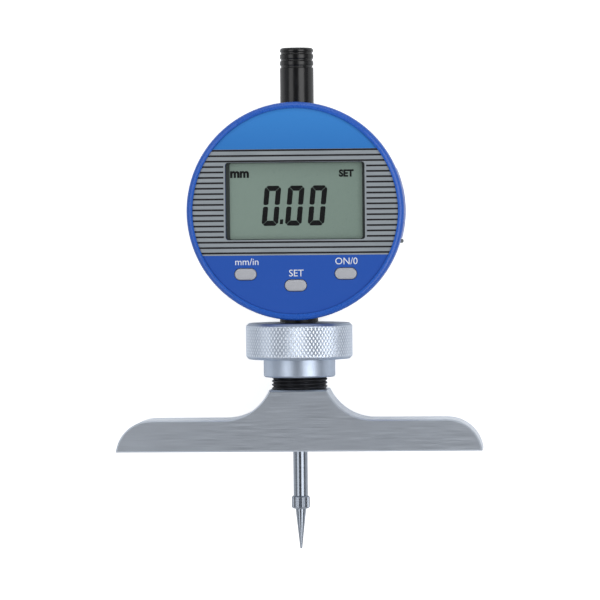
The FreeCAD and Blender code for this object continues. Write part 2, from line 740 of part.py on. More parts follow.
def make_return_spring():
    """Coil spring round the spindle, between the carrier and the upper bush."""
    start = f"({CARRIER_TOP} + spring_wire_diameter / 2 + rest_gap / 2)"
    height = f"({FLANGE_BOTTOM} - {CARRIER_TOP} - spring_wire_diameter - rest_gap)"
    coil_radius = "(spring_diameter / 2 + spring_wire_diameter / 2)"
    helix = doc.addObject("Part::Helix", "spring_path")
    helix.Placement = FreeCAD.Placement(FreeCAD.Vector(), FreeCAD.Rotation(FreeCAD.Vector(1, 0, 0), -90))
    bind(helix, "Radius", coil_radius)
    bind(helix, "Height", height)
    bind(helix, "Pitch", f"{height} / spring_turns")
    bind(helix, "Placement.Base.y", start)
    wire = doc.addObject("Part::Circle", "spring_section")
    bind(wire, "Radius", "spring_wire_diameter / 2")
    bind(wire, "Placement.Base.x", coil_radius)
    bind(wire, "Placement.Base.y", start)
    doc.recompute()
    spring = doc.addObject("Part::Sweep", "return_spring")
    spring.Sections = [wire]
    spring.Spine = (helix, [])
    spring.Solid = True
    spring.Frenet = True
    spring.Label = "return_spring"
    doc.recompute()
    return spring


def dial_sketch(body):
    """An upright section through the dial's own axis, for what is turned about it."""
    return top_sketch(body, DIAL)


def around_dial(radius, angle):
    """A place at an angle about the dial, counted from the right."""
    return f"{radius} * cos({angle} * 1deg)", f"{DIAL} + {radius} * sin({angle} * 1deg)"


BOARD_POSTS = [around_dial(POST_RADIUS, angle) for angle in (
    "board_post_upper_angle", "(180 - board_post_upper_angle)",
    "(180 + board_post_lower_angle)", "(0 - board_post_lower_angle)")]
COVER_POSTS = [around_dial(POST_RADIUS, angle) for angle in (
    "cover_post_angle", "(180 - cover_post_angle)", "(180 + cover_post_angle)", "(0 - cover_post_angle)")]


def rib(body, low, high, far):
    """A guide rib in front of the web, from the drawer's inner end into the wall of the case."""
    sketch = front_sketch(body, "0 - web_drop")
    end = f"sqrt({INNER_RADIUS} * {INNER_RADIUS} - ({far}) * ({far})) + case_wall / 2"
    rectangle(sketch, DRAWER_END, low, end, high)
    pad(body, sketch, f"{DRAWER_FRONT} + slide_clearance + web_drop", "rib")


def make_rear_case():
    """Ring-shaped case with a web across it, bosses for stem and bush, posts and drawer guides."""
    body = new_body("rear_case")
    section = dial_sketch(body)
    polygon(section, ("0", WEB_BACK), (INNER_RADIUS, WEB_BACK), (INNER_RADIUS, CASE_BACK),
            (CASE_RADIUS, CASE_BACK), (CASE_RADIUS, "parting_rise"), (INNER_RADIUS, "parting_rise"),
            (INNER_RADIUS, "0 - web_drop"), ("0", "0 - web_drop"))
    turned(body, section)

    in_wall = f"({INNER_RADIUS} + case_wall / 2)"
    lower = front_sketch(body, "0 - web_drop")
    rectangle(lower, "0 - stem_boss_width / 2", f"{DIAL} - {in_wall}", "stem_boss_width / 2", STEM_TOP)
    pad(body, lower, "web_drop + stem_diameter / 2 + boss_wall", "stem_boss")
    upper = front_sketch(body, "0 - web_drop")
    rectangle(upper, "0 - upper_boss_width / 2", BUSH_SEAT, "upper_boss_width / 2", f"{DIAL} + {in_wall}")
    pad(body, upper, "web_drop + bush_boss_diameter / 2 + boss_wall", "upper_boss")

    board_posts = front_sketch(body, "0 - web_drop")
    for place in BOARD_POSTS:
        circle(board_posts, *place, "post_diameter")
    pad(body, board_posts, "web_drop + board_rise", "board_posts")
    cover_posts = front_sketch(body, CASE_BACK)
    for place in COVER_POSTS:
        circle(cover_posts, *place, "post_diameter")
    pad(body, cover_posts, f"{WEB_BACK} - {CASE_BACK}", "cover_posts")
    rib(body, OPENING_TOP, f"{OPENING_TOP} + guide_rib_width", f"{OPENING_TOP} + guide_rib_width - {DIAL}")
    rib(body, f"{OPENING_BOTTOM} - guide_rib_width", OPENING_BOTTOM,
        f"{OPENING_BOTTOM} - guide_rib_width - {DIAL}")

    stem_bore = top_sketch(body, STEM_TOP)
    circle(stem_bore, "0", "0", "stem_diameter + 2 * seat_clearance")
    cut(body, stem_bore, "boss_height + 2 * case_wall", "stem_bore")
    collar_seat = top_sketch(body, COLLAR_TOP)
    circle(collar_seat, "0", "0", "stem_collar_diameter + 2 * seat_clearance")
    cut(body, collar_seat, "2 * case_wall", "collar_seat")
    above_case = f"({DIAL} + bezel_diameter / 2)"
    bush_bore = top_sketch(body, above_case)
    circle(bush_bore, "0", "0", "bush_boss_diameter + 2 * seat_clearance")
    cut(body, bush_bore, f"{above_case} - {BUSH_SEAT}", "bush_bore")
    cap_seat = top_sketch(body, above_case)
    circle(cap_seat, "0", "0", "cap_diameter + 2 * cap_seat_margin")
    cut(body, cap_seat, f"{above_case} - {CAP_SEAT}", "cap_seat")

    guide = front_sketch(body, WEB_BACK)
    slot(guide, "0 - guide_pin_offset", f"{PIN_HEIGHT} + spindle_stroke / 2",
         "(spindle_stroke + guide_pin_diameter + 2 * slide_clearance)",
         "(guide_pin_diameter + 2 * running_clearance)", upright=True)
    cut(body, guide, "web_thickness", "guide_slot")

    board_depth = "(board_screw_length - board_thickness + screw_hole_spare)"
    board_holes = front_sketch(body, f"board_rise - {board_depth}")
    for place in BOARD_POSTS:
        circle(board_holes, *place, "board_screw_diameter + 2 * seat_clearance")
    cut(body, board_holes, board_depth, "board_holes")
    cover_holes = front_sketch(body, CASE_BACK)
    for place in COVER_POSTS:
        circle(cover_holes, *place, "cover_screw_diameter + 2 * seat_clearance")
    cut(body, cover_holes, "cover_screw_length - rear_cover_thickness + screw_hole_spare", "cover_holes")
    opening = front_sketch(body, "0 - web_drop")
    rectangle(opening, CELL_OFFSET, OPENING_BOTTOM, "bezel_diameter / 2 + case_wall", OPENING_TOP)
    cut(body, opening, f"{DRAWER_FRONT} + slide_clearance + web_drop", "drawer_opening")
    return body


def make_rear_cover():
    """Flat cover with a rounded rim and four countersunk holes."""
    body = new_body("rear_cover")
    rim = f"({CASE_RADIUS} - rear_cover_setback)"
    outline = Outline(dial_sketch(body), "0", "0 - case_back_depth")
    outline.line(f"{rim} - rear_cover_round", "0 - case_back_depth")
    outline.arc(rim, "rear_cover_round - case_back_depth", "rear_cover_round")
    outline.line(rim, CASE_BACK)
    outline.line("0", CASE_BACK)
    outline.close()
    turned(body, outline.sketch)
    holes = front_sketch(body, "0 - case_back_depth")
    for place in COVER_POSTS:
        circle(holes, *place, "cover_screw_diameter + 2 * seat_clearance")
    cut(body, holes, "rear_cover_thickness", "screw_holes")
    back, rim_size = value("0 - case_back_depth"), value("cover_screw_head_diameter")
    mouths = edges_where(body, lambda edge: lies_at(edge, "Z", back) and edge.BoundBox.XLength < rim_size)
    soften(body, "Chamfer", mouths, "(cover_screw_head_diameter - cover_screw_diameter) / 2")
    return body


def place_at(thing, x, y, z):
    for axis, formula in zip("xyz", (x, y, z)):
        bind(thing, f"Placement.Base.{axis}", formula)


def group(label, pieces):
    """Like pieces in one node, each a solid of its own."""
    made = doc.addObject("Part::Compound", label)
    made.Label = label
    made.Links = pieces
    doc.recompute()
    return made


def screw(label, place, head_level, facing, sizes):
    """One slotted screw. Facing 1 has its head towards the reader, -1 towards the back."""
    head_diameter, neck_diameter, head_height, diameter, length = sizes
    head = doc.addObject("Part::Cone", f"{label}_head")
    bind(head, "Radius1", f"({head_diameter if facing == -1 else neck_diameter}) / 2")
    bind(head, "Radius2", f"({neck_diameter if facing == -1 else head_diameter}) / 2")
    bind(head, "Height", head_height)
    shank = doc.addObject("Part::Cylinder", f"{label}_shank")
    bind(shank, "Radius", f"{diameter} / 2")
    bind(shank, "Height", length)
    notch = doc.addObject("Part::Box", f"{label}_slot")
    bind(notch, "Length", f"2 * ({head_diameter})")
    bind(notch, "Width", "screw_slot_width")
    bind(notch, "Height", "screw_slot_depth")
    x, y = place
    low = head_level if facing == -1 else f"{head_level} - ({head_height})"
    place_at(head, x, y, low)
    place_at(shank, x, y, head_level if facing == -1 else f"{head_level} - ({length})")
    place_at(notch, f"{x} - ({head_diameter})", f"{y} - screw_slot_width / 2",
             head_level if facing == -1 else f"{head_level} - screw_slot_depth")
    whole = doc.addObject("Part::Fuse", f"{label}_blank")
    whole.Base, whole.Tool = head, shank
    made = doc.addObject("Part::Cut", label)
    made.Base, made.Tool = whole, notch
    return made


def make_cover_screws():
    cone_height = "(cover_screw_head_diameter - cover_screw_diameter) / 2"
    sizes = ("cover_screw_head_diameter", "cover_screw_diameter", cone_height, "cover_screw_diameter",
             "cover_screw_length")
    pieces = [screw(f"cover_screw_{number}", place, "0 - case_back_depth", -1, sizes)
              for number, place in enumerate(COVER_POSTS, start=1)]
    return group("cover_screws", pieces)


def make_board_screws():
    sizes = ("board_screw_head_top_diameter", "board_screw_head_diameter", "board_screw_head_height",
             "board_screw_diameter", "board_screw_length + board_screw_head_height")
    level = f"({BOARD_FRONT} + board_screw_head_height)"
    pieces = [screw(f"board_screw_{number}", place, level, 1, sizes)
              for number, place in enumerate(BOARD_POSTS, start=1)]
    return group("board_screws", pieces)


BUTTON_RADIUS = f"({INNER_RADIUS} - side_button_inset)"
BUTTON_PLACES = {
    "unit_button": around_dial(BUTTON_RADIUS, "(180 + side_button_angle)"),
    "set_button": ("0", f"{DIAL} - {INNER_RADIUS} + middle_button_inset"),
    "zero_button": around_dial(BUTTON_RADIUS, "(0 - side_button_angle)"),
}


def cut_button_holes(body, level, depth):
    sketch = front_sketch(body, level)
    for place in BUTTON_PLACES.values():
        slot(sketch, *place, "(button_length + 2 * button_clearance)",
             "(button_width + 2 * button_clearance)")
    cut(body, sketch, depth, "button_holes")


def cut_window(body, level, depth, margin, name):
    sketch = front_sketch(body, level)
    rounded_rectangle(sketch, "0", WINDOW, f"({WINDOW_WIDTH} + 2 * {margin})",
                      f"({WINDOW_HEIGHT} + 2 * {margin})", "window_corner_radius")
    cut(body, sketch, depth, name)


def make_front_cover():
    """Bezel moulded in one with the front wall, with a rebate for the lens and button holes."""
    body = new_body("front_cover")
    lip_outer = f"({INNER_RADIUS} - running_clearance)"
    lip_inner = f"({lip_outer} - lip_width)"
    outline = Outline(dial_sketch(body), "0", WALL_BACK)
    outline.line(lip_inner, WALL_BACK)
    outline.line(lip_inner, "parting_rise - lip_depth")
    outline.line(lip_outer, "parting_rise - lip_depth")
    outline.line(lip_outer, "parting_rise")
    outline.line("bezel_diameter / 2", "parting_rise")
    outline.line("bezel_diameter / 2", "bezel_rise - bezel_round")
    outline.arc("bezel_diameter / 2 - bezel_round", "bezel_rise", "bezel_round")
    outline.line(FACE_RADIUS, "bezel_rise")
    outline.line(FACE_RADIUS, WALL_FRONT)
    outline.line("0", WALL_FRONT)
    outline.close()
    turned(body, outline.sketch)
    cut_window(body, WALL_BACK, "front_wall", "0", "window")
    cut_window(body, LENS_BACK, "lens_thickness", "(lens_margin + running_clearance)", "lens_rebate")
    cut_button_holes(body, WALL_BACK, "front_wall")
    return body


def make_face_plate():
    """Round plate in the bezel, with a row of sunken lines that stops short of the window's border."""
    body = new_body("face_plate")
    disc = front_sketch(body, WALL_FRONT)
    circle(disc, "0", DIAL, f"2 * ({FACE_RADIUS} - running_clearance)")
    pad(body, disc, "face_plate_thickness")
    floor = f"({FACE_FRONT} - line_depth)"
    lowest = f"({DIAL} + first_line_offset - (line_count - 1) * line_pitch - line_width / 2)"
    line = front_sketch(body, floor)
    rectangle(line, "0 - bezel_diameter / 2", lowest, "bezel_diameter / 2", f"{lowest} + line_width")
    first = cut(body, line, "line_depth", "line")
    in_row(body, first, (line, ["V_Axis"]), "line_pitch", "line_count")
    border = front_sketch(body, floor)
    edge = f"({WINDOW_WIDTH} / 2 + window_border)"
    rectangle(border, f"0 - {edge}", f"{WINDOW} - {WINDOW_HEIGHT} / 2",
              edge, f"{WINDOW} + {WINDOW_HEIGHT} / 2")
    pad(body, border, "line_depth", "border")
    cut_window(body, WALL_FRONT, "face_plate_thickness", "0", "window")
    cut_button_holes(body, WALL_FRONT, "face_plate_thickness")
    return body


def make_lens():
    """Clear plate in the front wall's rebate, held down by the face plate."""
    body = new_body("lens")
    sketch = front_sketch(body, LENS_BACK)
    rounded_rectangle(sketch, "0", WINDOW, f"({WINDOW_WIDTH} + 2 * lens_margin)",
                      f"({WINDOW_HEIGHT} + 2 * lens_margin)", "window_corner_radius")
    pad(body, sketch, "lens_thickness")
    return body


def make_display():
    """Display of two bonded glasses. The rear one is larger and bears the contacts."""
    body = new_body("lcd_module")
    rear = front_sketch(body, DISPLAY_BACK)
    reach_x = f"({WINDOW_WIDTH} / 2 + display_rear_margin)"
    reach_y = f"({WINDOW_HEIGHT} / 2 + display_rear_margin)"
    rectangle(rear, f"0 - {reach_x}", f"{WINDOW} - {reach_y}", reach_x, f"{WINDOW} + {reach_y}")
    pad(body, rear, "display_rear_thickness")
    front = front_sketch(body, DISPLAY_STEP)
    rounded_rectangle(front, "0", WINDOW, f"({WINDOW_WIDTH} - 2 * slide_clearance)",
                      f"({WINDOW_HEIGHT} - 2 * slide_clearance)", "window_corner_radius")
    pad(body, front, "display_front_thickness", "front_glass")
    return body


def make_display_holder():
    """Frame that holds the display off the board."""
    body = new_body("lcd_holder")
    frame = front_sketch(body, BOARD_FRONT)
    reach_x, reach_y = f"({WINDOW_WIDTH} / 2 + holder_margin)", f"({WINDOW_HEIGHT} / 2 + holder_margin)"
    rectangle(frame, f"0 - {reach_x}", f"{WINDOW} - {reach_y}", reach_x, f"{WINDOW} + {reach_y}")
    pad(body, frame, f"{DISPLAY_BACK} - {BOARD_FRONT}")
    inside = front_sketch(body, BOARD_FRONT)
    rectangle(inside, f"0 - {HOLDER_WIDTH} / 2", f"{WINDOW} - {HOLDER_HEIGHT} / 2",
              f"{HOLDER_WIDTH} / 2", f"{WINDOW} + {HOLDER_HEIGHT} / 2")
    cut(body, inside, f"{DISPLAY_BACK} - {BOARD_FRONT}")
    return body


def make_contact_strips():
    """Two elastomer strips in the holder, between the board and the display's contacts."""
    strips = []
    upper = f"({WINDOW} + {HOLDER_HEIGHT} / 2 - elastomer_width)"
    lower = f"({WINDOW} - {HOLDER_HEIGHT} / 2)"
    for number, level in enumerate((upper, lower), start=1):
        strip = doc.addObject("Part::Box", f"contact_strip_{number}")
        bind(strip, "Length", HOLDER_WIDTH)
        bind(strip, "Width", "elastomer_width")
        bind(strip, "Height", f"{DISPLAY_BACK} - {BOARD_FRONT}")
        place_at(strip, f"0 - {HOLDER_WIDTH} / 2", level, BOARD_FRONT)
        strips.append(strip)
    return group("contact_strips", strips)


def make_main_board():
    """Round board with notches for the two bosses and holes for its screws."""
    body = new_body("main_board")
    disc = front_sketch(body, "board_rise")
    circle(disc, "0", DIAL, f"2 * ({INNER_RADIUS} - board_edge_gap)")
    pad(body, disc, "board_thickness")
    notches = front_sketch(body, "board_rise")
    edge = f"({BOSS_REACH} - board_notch_gap)"
    lower, upper = "(stem_boss_width / 2 + board_notch_gap)", "(upper_boss_width / 2 + board_notch_gap)"
    rectangle(notches, f"0 - {lower}", f"{DIAL} - {INNER_RADIUS}", lower, f"{DIAL} - {edge}")
    rectangle(notches, f"0 - {upper}", f"{DIAL} + {edge}", upper, f"{DIAL} + {INNER_RADIUS}")
    cut(body, notches, "board_thickness", "notches")
    holes = front_sketch(body, "board_rise")
    for place in BOARD_POSTS:
        circle(holes, *place, "board_screw_diameter + 2 * thread_clearance")
    cut(body, holes, "board_thickness", "screw_holes")
    return body


def make_switch_domes():
    """Three metal domes on the board, one under each button."""
    domes = []
    for number, (x, y) in enumerate(BUTTON_PLACES.values(), start=1):
        dome = doc.addObject("Part::Cone", f"switch_dome_{number}")
        bind(dome, "Radius1", "dome_diameter / 2")
        bind(dome, "Radius2", "dome_top_diameter / 2")
        bind(dome, "Height", "dome_height")
        place_at(dome, x, y, BOARD_FRONT)
        domes.append(dome)
    return group("switch_domes", domes)


def make_button(label):
    """Key with a rounded top, a flange behind the front wall and a foot over its dome."""
    body = new_body(label)
    x, y = BUTTON_PLACES[label]
    key = front_sketch(body, FLANGE_FRONT)
    slot(key, x, y, "button_length", "button_width")
    pad(body, key, f"{BUTTON_FRONT} - {FLANGE_FRONT}", "key")
    top = value(BUTTON_FRONT)
    rim = edges_where(body, lambda edge: lies_at(edge, "Z", top))
    soften(body, "Fillet", rim, "button_edge_radius")
    flange = front_sketch(body, FLANGE_BACK)
    slot(flange, x, y, "(button_length + 2 * button_flange_margin)",
         "(button_width + 2 * button_flange_margin)")
    pad(body, flange, "button_flange_thickness", "flange")
    foot = front_sketch(body, FOOT_BACK)
    circle(foot, x, y, "button_foot_diameter")
    pad(body, foot, f"{FLANGE_BACK} - {FOOT_BACK}", "foot")
    return body


def make_battery_drawer():
    """Tray with a round pocket for the cell. Its outer end follows the round of the case."""
    body = new_body("battery_drawer")
    radius = f"({CASE_RADIUS} + drawer_stand_out)"
    low, high = f"(drawer_offset - {DRAWER_WIDTH} / 2)", f"(drawer_offset + {DRAWER_WIDTH} / 2)"
    outline = Outline(front_sketch(body, DRAWER_BACK), DRAWER_END, f"{DIAL} + {low}")
    outline.line(f"sqrt({radius} * {radius} - {low} * {low})", f"{DIAL} + {low}")
    outline.arc(f"sqrt({radius} * {radius} - {high} * {high})", f"{DIAL} + {high}", radius)
    outline.line(DRAWER_END, f"{DIAL} + {high}")
    outline.close()
    pad(body, outline.sketch, f"{DRAWER_FRONT} - {DRAWER_BACK}")
    pocket = front_sketch(body, CELL_BACK)
    circle(pocket, CELL_OFFSET, DRAWER_MIDDLE, f"{CELL_DIAMETER} + 2 * slide_clearance")
    cut(body, pocket, "cell_thickness + drawer_rim", "cell_pocket")
    push_hole = front_sketch(body, DRAWER_BACK)
    circle(push_hole, CELL_OFFSET, DRAWER_MIDDLE, "push_hole_diameter")
    cut(body, push_hole, "drawer_floor", "push_hole")
    groove = front_sketch(body, f"({DRAWER_BACK} + {DRAWER_FRONT} - nail_groove_width) / 2")
    rectangle(groove, f"{radius} - nail_groove_depth", f"{DRAWER_MIDDLE} - nail_groove_length / 2",
              f"{radius} + nail_groove_depth", f"{DRAWER_MIDDLE} + nail_groove_length / 2")
    cut(body, groove, "nail_groove_width", "nail_groove")
    return body


def make_battery_cell():
    body = new_body("battery_cell")
    disc = front_sketch(body, CELL_BACK)
    circle(disc, CELL_OFFSET, DRAWER_MIDDLE, CELL_DIAMETER)
    pad(body, disc, "cell_thickness")
    soften(body, "Chamfer", edges_where(body, lambda edge: edge.BoundBox.ZLength < 0.001), "cell_chamfer")
    return body


def make_drawer_catch():
    """Small tongue beside the drawer, whose end shows at the side of the case."""
    body = new_body("drawer_catch")
    middle = f"({CATCH_TOP} - catch_width / 2 - {DIAL})"
    end = f"(sqrt({CASE_RADIUS} * {CASE_RADIUS} - {middle} * {middle}) + catch_stand_out)"
    block = front_sketch(body, f"{DRAWER_BACK} + catch_lift")
    rectangle(block, f"{end} - catch_length", f"{CATCH_TOP} - catch_width", end, CATCH_TOP)
    pad(body, block, "catch_height")
    corners = edges_where(body, lambda edge: lies_at(edge, "X", value(end)) and edge.BoundBox.YLength < 0.001)
    soften(body, "Fillet", corners, "catch_round")
    return body


def make_leaf(label, offset):
    """Bent contact leaf: its tail hangs from the board and its tongue comes down over the cell."""
    body = new_body(label)
    sketch = top_sketch(body, f"({DRAWER_MIDDLE} + {offset} + leaf_width / 2)")
    tongue = f"({DRAWER_FRONT} + contact_gap)"
    foot, reach = f"{LEAF_TAIL} + leaf_foot", f"{LEAF_TAIL} + leaf_reach"
    bend = "(board_rise - leaf_drop)"
    polygon(sketch, (LEAF_TAIL, "board_rise"), (LEAF_TAIL, f"{bend} - leaf_thickness"),
            (foot, f"{bend} - leaf_thickness"), (reach, tongue),
            (reach, f"{tongue} + leaf_thickness"), (foot, bend),
            (f"{LEAF_TAIL} + leaf_thickness", bend), (f"{LEAF_TAIL} + leaf_thickness", "board_rise"))
    pad(body, sketch, "leaf_width")
    return body


SUB_PARTS = [
    make_base(), make_collet_bush(), make_clamp_nut(),
    make_stem(), make_upper_bush(), make_dust_cap(), make_rear_case(), make_rear_cover(), make_cover_screws(),
    make_front_cover(), make_face_plate(), make_lens(), make_display(), make_display_holder(),
    make_contact_strips(), make_main_board(), make_board_screws(), make_switch_domes(),
    make_leaf("negative_contact", "negative_leaf_offset"),
    make_leaf("positive_contact", "positive_leaf_offset"),
    make_drawer_catch(), make_stop_ring(),
    make_spindle(), make_contact_point(), make_scale_carrier(), make_scale_strip(), make_guide_pin(),
    make_return_spring(),
    make_button("unit_button"), make_button("set_button"), make_button("zero_button"),
    make_battery_drawer(), make_battery_cell(),
]
doc.recompute()

for item in doc.Objects:
    if {"Invalid", "Error"} & set(item.State):
        raise ValueError(f"{item.Name} failed: {item.State}")
for sub_part in SUB_PARTS:
    if sub_part.Shape.isNull() or not sub_part.Shape.isValid():
        raise ValueError(f"{sub_part.Label} has no valid shape")

os.makedirs("parts", exist_ok=True)
for sub_part in SUB_PARTS:
    sub_part.Shape.exportStep(f"parts/{sub_part.Label}.step")
    box = sub_part.Shape.BoundBox
    print(f"{sub_part.Label}: {len(sub_part.Shape.Solids)} solid, {sub_part.Shape.Volume:.1f} mm3,"
          f" X {box.XMin:.2f} to {box.XMax:.2f}, Y {box.YMin:.2f} to {box.YMax:.2f},"
          f" Z {box.ZMin:.2f} to {box.ZMax:.2f}")
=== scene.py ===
# %% [markdown]
# # A digital depth gauge in Blender
#
# The gauge measures how deep a slot or a step is. Its steel base spans the slot, and a needle on
# the spindle reaches down to the bottom. The CAD model gives every solid its place and size. This
# file gives each of them its finish and adds what is too fine for solids: the knurl and the
# threads, the figures of the display and the words by the keys.
#
# The model is loaded first. All lengths below are written in millimetres and turned into metres
# when they go into a mesh.

import bmesh
import bpy
import numpy as np
from mathutils import Matrix, Vector


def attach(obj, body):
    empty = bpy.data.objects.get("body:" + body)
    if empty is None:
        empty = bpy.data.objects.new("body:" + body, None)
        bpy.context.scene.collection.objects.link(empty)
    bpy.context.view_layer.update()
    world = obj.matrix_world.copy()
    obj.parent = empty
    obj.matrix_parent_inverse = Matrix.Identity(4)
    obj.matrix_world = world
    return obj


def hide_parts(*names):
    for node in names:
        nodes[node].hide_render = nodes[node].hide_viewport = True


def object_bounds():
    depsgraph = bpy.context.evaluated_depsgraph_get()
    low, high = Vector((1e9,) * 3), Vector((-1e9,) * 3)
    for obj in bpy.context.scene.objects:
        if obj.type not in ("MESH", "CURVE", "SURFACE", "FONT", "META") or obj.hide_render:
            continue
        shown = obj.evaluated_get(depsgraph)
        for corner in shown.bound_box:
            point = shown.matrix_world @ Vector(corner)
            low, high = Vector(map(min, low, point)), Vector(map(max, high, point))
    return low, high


MM = 0.001

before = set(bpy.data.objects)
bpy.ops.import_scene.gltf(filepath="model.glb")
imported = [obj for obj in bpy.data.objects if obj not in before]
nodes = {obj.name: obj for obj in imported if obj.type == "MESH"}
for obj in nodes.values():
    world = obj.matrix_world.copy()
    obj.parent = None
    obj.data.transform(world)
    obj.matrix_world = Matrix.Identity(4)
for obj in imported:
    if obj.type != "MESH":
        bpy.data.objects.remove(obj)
model_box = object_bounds()
print("CAD nodes:", len(nodes), "box in mm:", [[round(c / MM, 1) for c in corner] for corner in model_box])

# %% [markdown]
# ## Camera
#
# The photograph was taken from far away with a long lens, nearly square to the dial, a few degrees
# to its right. A lens of this length keeps edges that run away from the reader almost parallel.
# The camera is placed by its distance and two angles from the spindle axis, turned to the middle
# of the picture, and rolled by a fraction of a degree.

# %% Place the camera
DISTANCE = 1100.0
PIXELS_PER_MM = 3.5964
PICTURE_SIDE = 600
SENSOR = 36.0


def aim_camera(yaw, rise, roll, target):
    """The eye lies on a ray from the origin: yaw turns the ray to the right, rise lifts it.
    The camera's own axes are the ray's cross products with the upright, turned by roll."""
    yaw, rise, roll = np.radians([yaw, rise, roll])
    eye = DISTANCE * np.array([np.sin(yaw) * np.cos(rise), np.sin(rise), np.cos(yaw) * np.cos(rise)])
    back = (eye - target) / np.linalg.norm(eye - target)
    right = np.cross([0.0, 1.0, 0.0], back)
    right /= np.linalg.norm(right)
    up = np.cross(back, right)
    axes = [right * np.cos(roll) - up * np.sin(roll), right * np.sin(roll) + up * np.cos(roll), back]
    placed = Matrix([[*map(float, row)] for row in np.array(axes).T]).to_4x4()
    placed.translation = Vector(eye * MM)
    return placed


camera_data = bpy.data.cameras.new("camera")
camera_data.sensor_width = SENSOR
camera_data.lens = PIXELS_PER_MM * DISTANCE / PICTURE_SIDE * SENSOR
camera_data.clip_start = 0.05
camera_data.clip_end = 20.0
camera = bpy.data.objects.new("camera", camera_data)
camera.matrix_world = aim_camera(yaw=4.0, rise=3.5, roll=0.55, target=np.array([0.3, 41.7, 0.0]))
bpy.context.scene.collection.objects.link(camera)
bpy.context.scene.camera = camera
bpy.context.scene.view_settings.view_transform = "Standard"
print("lens in mm:", round(camera_data.lens, 1))

# %% [markdown]
# ## Nodes and colours
#
# Every finish below is a small node tree. One helper adds a node with its settings and whatever
# feeds it, and another starts a material and gives the place on the object that its patterns read.
# Colours are written as the hex values that a picture editor shows, and are turned to the linear
# values that the shader works with. Noise mostly stays between 0.3 and 0.7, so a Map Range node
# spreads that part of it over a roughness.

# %% Helpers for materials
NOISE_RANGE = {"From Min": 0.3, "From Max": 0.7}


def linear(code):
    """Each channel over 0.04045 is ((c + 0.055) / 1.055) to the power 2.4, and under it c / 12.92."""
    channels = np.array([int(code[start:start + 2], 16) for start in (1, 3, 5)]) / 255
    curved = ((channels + 0.055) / 1.055) ** 2.4
    return (*np.where(channels <= 0.04045, channels / 12.92, curved).tolist(), 1.0)


def add_node(tree, kind, feeds=None, **settings):
    """A node with its settings. Each entry of feeds gives one input a socket, a hex colour or a value."""
    made = tree.nodes.new(kind)
    for name, setting in settings.items():
        setattr(made, name, setting)
    for place, source in (feeds or {}).items():
        if isinstance(source, bpy.types.NodeSocket):
            tree.links.new(source, made.inputs[place])
        else:
            made.inputs[place].default_value = linear(source) if isinstance(source, str) else source
    return made


def start_material(name):
    """An empty material, its node tree and the place on the object in metres."""
    material = bpy.data.materials.new(name)
    material.use_nodes = True
    tree = material.node_tree
    tree.nodes.clear()
    return material, tree, add_node(tree, "ShaderNodeTexCoord").outputs["Object"]


# %% [markdown]
# ## Shapes from numbers
#
# A turned part is a profile carried round an axis: a list of (radius, height) points and a list of
# angles make a grid of points. Its corners are rounded a little first, as every real edge is, and
# those small curves are what catch the light. Grooves are cut by a triangle wave, with flat crests
# between them. The grid goes into a mesh in one step, doubles at the poles are merged, and the
# faces are turned outwards.

# %% Helpers for shapes


def grid_faces(rows, columns, wrap_rows=False, wrap_columns=False):
    """Four neighbours of a grid make a face. Wrapped sides join the last line to the first."""
    index = np.arange(rows * columns).reshape(rows, columns)
    if wrap_rows:
        index = np.vstack([index, index[:1]])
    if wrap_columns:
        index = np.hstack([index, index[:, :1]])
    corners = index[:-1, :-1], index[:-1, 1:], index[1:, 1:], index[1:, :-1]
    return np.stack(corners, axis=-1).reshape(-1, 4)


def full_turn(columns):
    """The angles of equal columns: a column's number times a whole turn over their count."""
    return np.arange(columns) * 2 * np.pi / columns


def turned(radius, height, angle):
    """Points round the spindle's axis: x = r sin a, y = height, z = r cos a."""
    return np.stack([radius * np.sin(angle), height, radius * np.cos(angle)], axis=-1).reshape(-1, 3)


def triangle_wave(x):
    """0 at whole numbers, 1 halfway between: 1 - |2 frac(x) - 1|."""
    return 1 - np.abs(2 * (x - np.floor(x)) - 1)


def grooved(radius, depth, wave, steepness):
    """Grooves reach the depth and crests keep the radius: r - depth (1 - min(steepness wave, 1))."""
    return radius - depth * (1 - np.minimum(steepness * wave, 1))


def rounded_corners(points, radius, steps=4):
    """Each inner corner becomes a quadratic curve: (1-t)^2 before + 2t(1-t) corner + t^2 after."""
    points = np.asarray(points, float)
    before, corner, after = points[:-2], points[1:-1], points[2:]
    back, ahead = before - corner, after - corner
    back_length = np.linalg.norm(back, axis=1, keepdims=True)
    ahead_length = np.linalg.norm(ahead, axis=1, keepdims=True)
    first = corner + back / back_length * np.minimum(radius, 0.45 * back_length)
    last = corner + ahead / ahead_length * np.minimum(radius, 0.45 * ahead_length)
    t = np.linspace(0, 1, steps + 1)[None, :, None]
    curve = (1 - t) ** 2 * first[:, None] + 2 * t * (1 - t) * corner[:, None] + t ** 2 * last[:, None]
    return np.vstack([points[:1], curve.reshape(-1, 2), points[-1:]])


